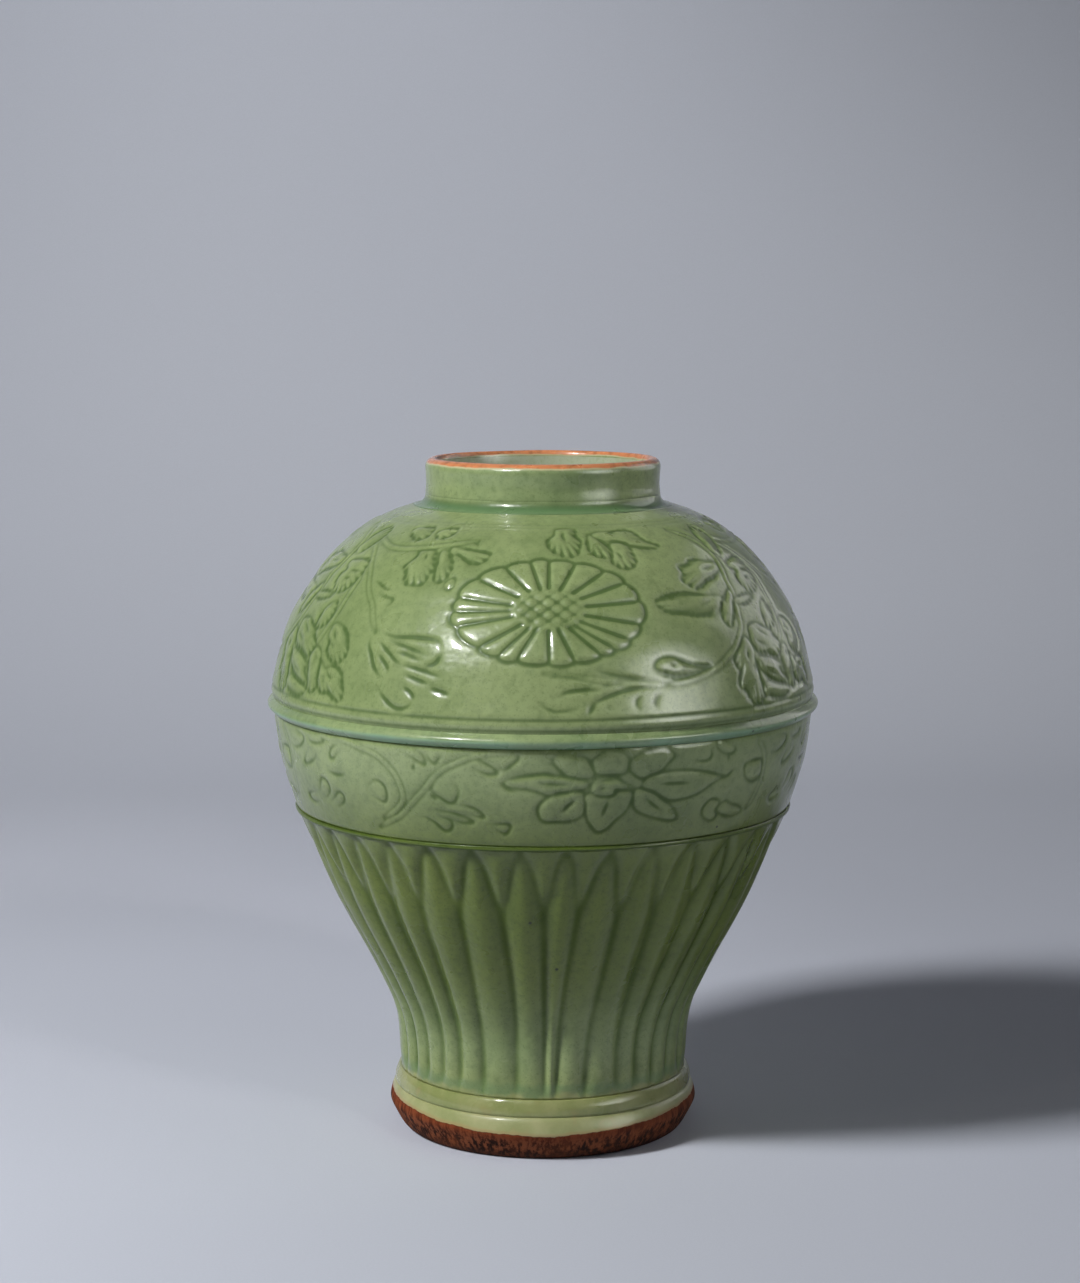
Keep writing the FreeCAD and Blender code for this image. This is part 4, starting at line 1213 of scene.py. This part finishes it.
def make_neck(settings):
    """The fillet at the neck's root and the short neck with its rounded lip."""
    materials = (ridge_glaze("neck glaze", settings, 0), inside_glaze("inside glaze of the neck", settings))
    share = np.linspace(0, 1, 20)
    curve = 1 - (1 - (1 - share) ** 2.1) ** 0.55
    outer = np.column_stack([
        NECK - 0.2 * MM + (NECK_ROOT - NECK + 0.1 * MM) * curve,
        SHOULDER_TOP + (FILLET_TOP - SHOULDER_TOP) * share,
    ])
    inner = np.array([(NECK - 1.4 * MM, FILLET_TOP), (NECK - 1.4 * MM, SHOULDER_TOP)])
    relief = 0.1 * MM * uneven(len(outer), NECK_COLUMNS, 41)
    pooling = round_the_turn(0.9 * np.sin(math.pi * share), NECK_COLUMNS)
    shell("neck_root_fillet", "neck_fillet", materials, outer, inner, relief, pooling)

    outer = even(spline([
        (NECK - 0.25 * MM, SHOULDER_TOP), (NECK - 0.25 * MM, FILLET_TOP + 0.6 * MM),
        (NECK - 0.55 * MM, FILLET_TOP + 5 * MM), (NECK - 0.35 * MM, FILLET_TOP + 9.5 * MM),
        (NECK - 0.12 * MM, LIP - 4.2 * MM), (NECK - 0.5 * MM, LIP - 2.5 * MM),
        (NECK - 1.5 * MM, LIP - 1.1 * MM), (NECK - 2.8 * MM, LIP - 0.35 * MM),
        (NECK - 4 * MM, LIP - 0.12 * MM), (MOUTH + 0.9 * MM, LIP - 0.45 * MM),
        (MOUTH + 0.2 * MM, LIP - 1.6 * MM),
    ]), 0.6 * MM)
    inner = np.array([
        (MOUTH, LIP - 3 * MM), (MOUTH + 0.1 * MM, LIP - 10 * MM), (MOUTH - 0.05 * MM, LIP - 17 * MM),
        (MOUTH, SHOULDER_TOP),
    ])
    relief = 0.09 * MM * uneven(len(outer), NECK_COLUMNS, 43)
    pooling = round_the_turn(ramp(outer[:, 1], FILLET_TOP + 1.2 * MM, FILLET_TOP - 0.8 * MM), NECK_COLUMNS)
    shell("neck_ring", "neck_collar", materials, outer, inner, relief, pooling)


# Stage.

def make_backdrop(settings):
    """The sheet that runs from under the vase up behind it."""
    bend = 0.9
    profile = [(-1.7, 0), (bend, 0)]
    for turn in np.radians(np.linspace(0, 90, 25)[1:]):
        profile.append((bend + bend * math.sin(turn), bend - bend * math.cos(turn)))
    profile.append((2 * bend, 3.2))
    form = bmesh.new()
    left, right = [[form.verts.new((across, y, z)) for y, z in profile] for across in (-2.6, 2.6)]
    for index in range(len(profile) - 1):
        form.faces.new([left[index], right[index], right[index + 1], left[index + 1]])
    mesh = bpy.data.meshes.new("backdrop")
    form.to_mesh(mesh)
    form.free()
    mesh.polygons.foreach_set("use_smooth", [True] * len(mesh.polygons))
    mesh.materials.append(backdrop_paper(settings))
    add_object("backdrop", mesh)


def make_lamp(name, place, target, size, power, spread=180, shape="RECTANGLE", diffuse=True, glossy=True):
    """A soft lamp that looks at a point. A narrow spread makes its mirror image fade at the edges."""
    lamp = bpy.data.lights.new(name, "AREA")
    lamp.shape = shape
    lamp.size, lamp.size_y = size
    lamp.energy = power
    lamp.spread = math.radians(spread)
    piece = add_object(name, lamp)
    piece.location = place
    piece.rotation_euler = (Vector(target) - Vector(place)).to_track_quat("-Z", "Y").to_euler()
    piece.visible_diffuse = diffuse
    piece.visible_glossy = glossy


def make_lights(settings):
    """A soft key from the left, weak fills, lamps that only reflections show, and an even room."""
    make_lamp("key", (-1.29, -0.77, 1.42), (0, 0, 0.1), (0.36, 0.36), settings.key_power, glossy=False)
    make_lamp("left panel", (-1.35, -0.6, 0.95), (0, 0, 0.2), (1.2, 1.0), settings.panel_power, 70)
    make_lamp(
        "window", (-0.78, -0.93, 1.22), (0, 0, 0.25), (0.1, 0.18), settings.window_power, diffuse=False
    )
    make_lamp(
        "right panel", (1.2, -0.78, 0.62), (0, 0, 0.3), (1.35, 0.95), settings.fill_power, 48, "ELLIPSE",
        diffuse=False,
    )
    make_lamp("high fill", (1.05, -0.5, 1.35), (0, 0, 0.25), (0.6, 0.6), settings.high_power, glossy=False)
    make_lamp("right wall", (1.15, 0.6, 0.75), (0, 0, 0.24), (1.1, 1.0), settings.rim_power, diffuse=False)
    make_lamp(
        "front fill", (0.95, -1.25, 1.15), (0.02, 0, 0.26), (0.4, 0.3), settings.front_power, 16,
        glossy=False,
    )
    world = bpy.data.worlds.new("even room")
    world.use_nodes = True
    room = world.node_tree.nodes["Background"].inputs
    room["Color"].default_value = (0.93, 0.96, 1.0, 1)
    room["Strength"].default_value = settings.room
    bpy.context.scene.world = world
    bpy.context.scene.view_settings.view_transform = "Standard"


def make_camera():
    """The camera that matches the photograph's view."""
    data = bpy.data.cameras.new("camera")
    data.lens = 80.67
    camera = add_object("camera", data)
    camera.location = (-0.0014, -1.39425, 0.42174)
    camera.rotation_euler = (math.radians(82.56), 0, 0)
    bpy.context.scene.camera = camera


# Settings, operators and panel.

def colour_choice(name, description, value):
    """A colour that can be picked."""
    return bpy.props.FloatVectorProperty(
        name=name, description=description, default=value, subtype="COLOR", size=4, min=0, max=1
    )


def depth_choice(name, description, value):
    """The depth of a cut, in metres."""
    return bpy.props.FloatProperty(
        name=name, description=description, default=value, min=0, max=0.0035, unit="LENGTH", precision=5
    )


def power_choice(name, description, value):
    """The power of a lamp, in watts."""
    return bpy.props.FloatProperty(name=name, description=description, default=value, min=0, unit="POWER")


class VaseSettings(bpy.types.PropertyGroup):
    """Depths of the carving and colours of the vase"""
    shoulder_depth: depth_choice("Shoulder cuts", "Depth of the cuts in the flower scroll", 0.7 * MM)
    belly_depth: depth_choice("Belly cuts", "Depth of the cuts in the flower band", 0.7 * MM)
    petal_depth: depth_choice("Petal grooves", "Depth of the grooves between the petals", 3.3 * MM)
    glaze: colour_choice("Glaze", "Main colour of the glaze", tone(124, 141, 92))
    thin_glaze: colour_choice("Thin glaze", "Colour where the glaze lies thin", tone(142, 157, 108))
    pooled_glaze: colour_choice("Pooled glaze", "Colour where the glaze lies deep", tone(62, 86, 42))
    ridge_glaze: colour_choice("Ridge glaze", "Colour of the ridge and the neck", tone(117, 136, 92))
    teal_glaze: colour_choice("Teal glaze", "Colour in the corner round the neck", tone(76, 116, 78))
    inside: colour_choice("Inside", "Colour of the inside glaze", tone(168, 176, 150))
    lip: colour_choice("Lip", "Colour of the burnt lip", tone(200, 128, 84))
    clay: colour_choice("Clay", "Colour of the bare foot", tone(132, 74, 47))


class StageSettings(bpy.types.PropertyGroup):
    """Colour of the backdrop and powers of the lamps"""
    backdrop: colour_choice("Backdrop", "Colour of the sheet", tone(201, 205, 217))
    key_power: power_choice("Key", "Power of the soft key lamp", 42)
    panel_power: power_choice("Panel", "Power of the wide dim panel on the left", 0.05)
    window_power: power_choice("Window", "Power of the small highlight lamp", 15)
    fill_power: power_choice("Fill", "Power of the panel on the right", 1.3)
    rim_power: power_choice("Rim", "Power of the sheen on the far right edge", 4)
    high_power: power_choice("High fill", "Power of the soft fill from the upper right", 1.6)
    front_power: power_choice("Front", "Power of the narrow fill from the front right", 0.11)
    room: bpy.props.FloatProperty(
        name="Room", description="Strength of the even room light", default=0.012, min=0
    )


class VASE_OT_foot(bpy.types.Operator):
    """Make the bare foot ring with its bead and base"""
    bl_idname = "vase.foot"
    bl_label = "Foot"
    bl_options = {"REGISTER", "UNDO"}

    def execute(self, context):
        make_foot(context.scene.vase)
        return {"FINISHED"}


class VASE_OT_petals(bpy.types.Operator):
    """Make the lower wall with its petals"""
    bl_idname = "vase.petals"
    bl_label = "Petal wall"
    bl_options = {"REGISTER", "UNDO"}

    def execute(self, context):
        make_petal_wall(context.scene.vase)
        return {"FINISHED"}


class VASE_OT_coils(bpy.types.Operator):
    """Make the waist string and the girdle ridge"""
    bl_idname = "vase.coils"
    bl_label = "Coils"
    bl_options = {"REGISTER", "UNDO"}

    def execute(self, context):
        make_coils(context.scene.vase)
        return {"FINISHED"}


class VASE_OT_belly(bpy.types.Operator):
    """Make the belly with its flower band"""
    bl_idname = "vase.belly"
    bl_label = "Belly"
    bl_options = {"REGISTER", "UNDO"}

    def execute(self, context):
        make_belly(context.scene.vase)
        return {"FINISHED"}


class VASE_OT_shoulder(bpy.types.Operator):
    """Make the shoulder with its flower scroll"""
    bl_idname = "vase.shoulder"
    bl_label = "Shoulder"
    bl_options = {"REGISTER", "UNDO"}

    def execute(self, context):
        make_shoulder(context.scene.vase)
        return {"FINISHED"}


class VASE_OT_neck(bpy.types.Operator):
    """Make the neck, its lip and the fillet at its root"""
    bl_idname = "vase.neck"
    bl_label = "Neck"
    bl_options = {"REGISTER", "UNDO"}

    def execute(self, context):
        make_neck(context.scene.vase)
        return {"FINISHED"}


class VASE_OT_stage(bpy.types.Operator):
    """Make the backdrop, the lamps and the camera"""
    bl_idname = "vase.stage"
    bl_label = "Stage"
    bl_options = {"REGISTER", "UNDO"}

    def execute(self, context):
        make_backdrop(context.scene.vase_stage)
        make_lights(context.scene.vase_stage)
        make_camera()
        return {"FINISHED"}


OPERATORS = (
    VASE_OT_foot, VASE_OT_petals, VASE_OT_coils, VASE_OT_belly, VASE_OT_shoulder, VASE_OT_neck,
    VASE_OT_stage,
)


class VASE_PT_panel(bpy.types.Panel):
    """Sizes, colours and steps of the vase"""
    bl_label = "Vase"
    bl_idname = "VASE_PT_panel"
    bl_space_type = "VIEW_3D"
    bl_region_type = "UI"
    bl_category = "Vase"

    def draw(self, context):
        for settings in (context.scene.vase, context.scene.vase_stage):
            for name in settings.bl_rna.properties.keys():
                if name not in ("rna_type", "name"):
                    self.layout.prop(settings, name)
        for operator in OPERATORS:
            self.layout.operator(operator.bl_idname)


CLASSES = (VaseSettings, StageSettings, *OPERATORS, VASE_PT_panel)


def register():
    """Adds the settings, operators and panel."""
    for item in CLASSES:
        bpy.utils.register_class(item)
    bpy.types.Scene.vase = bpy.props.PointerProperty(type=VaseSettings)
    bpy.types.Scene.vase_stage = bpy.props.PointerProperty(type=StageSettings)


def unregister():
    """Takes them away again."""
    del bpy.types.Scene.vase_stage
    del bpy.types.Scene.vase
    for item in reversed(CLASSES):
        bpy.utils.unregister_class(item)


def main():
    """Makes the vase and its stage."""
    register()
    bpy.ops.vase.foot()
    bpy.ops.vase.petals()
    bpy.ops.vase.coils()
    bpy.ops.vase.belly()
    bpy.ops.vase.shoulder()
    bpy.ops.vase.neck()
    bpy.ops.vase.stage()


if __name__ == "__main__":
    main()
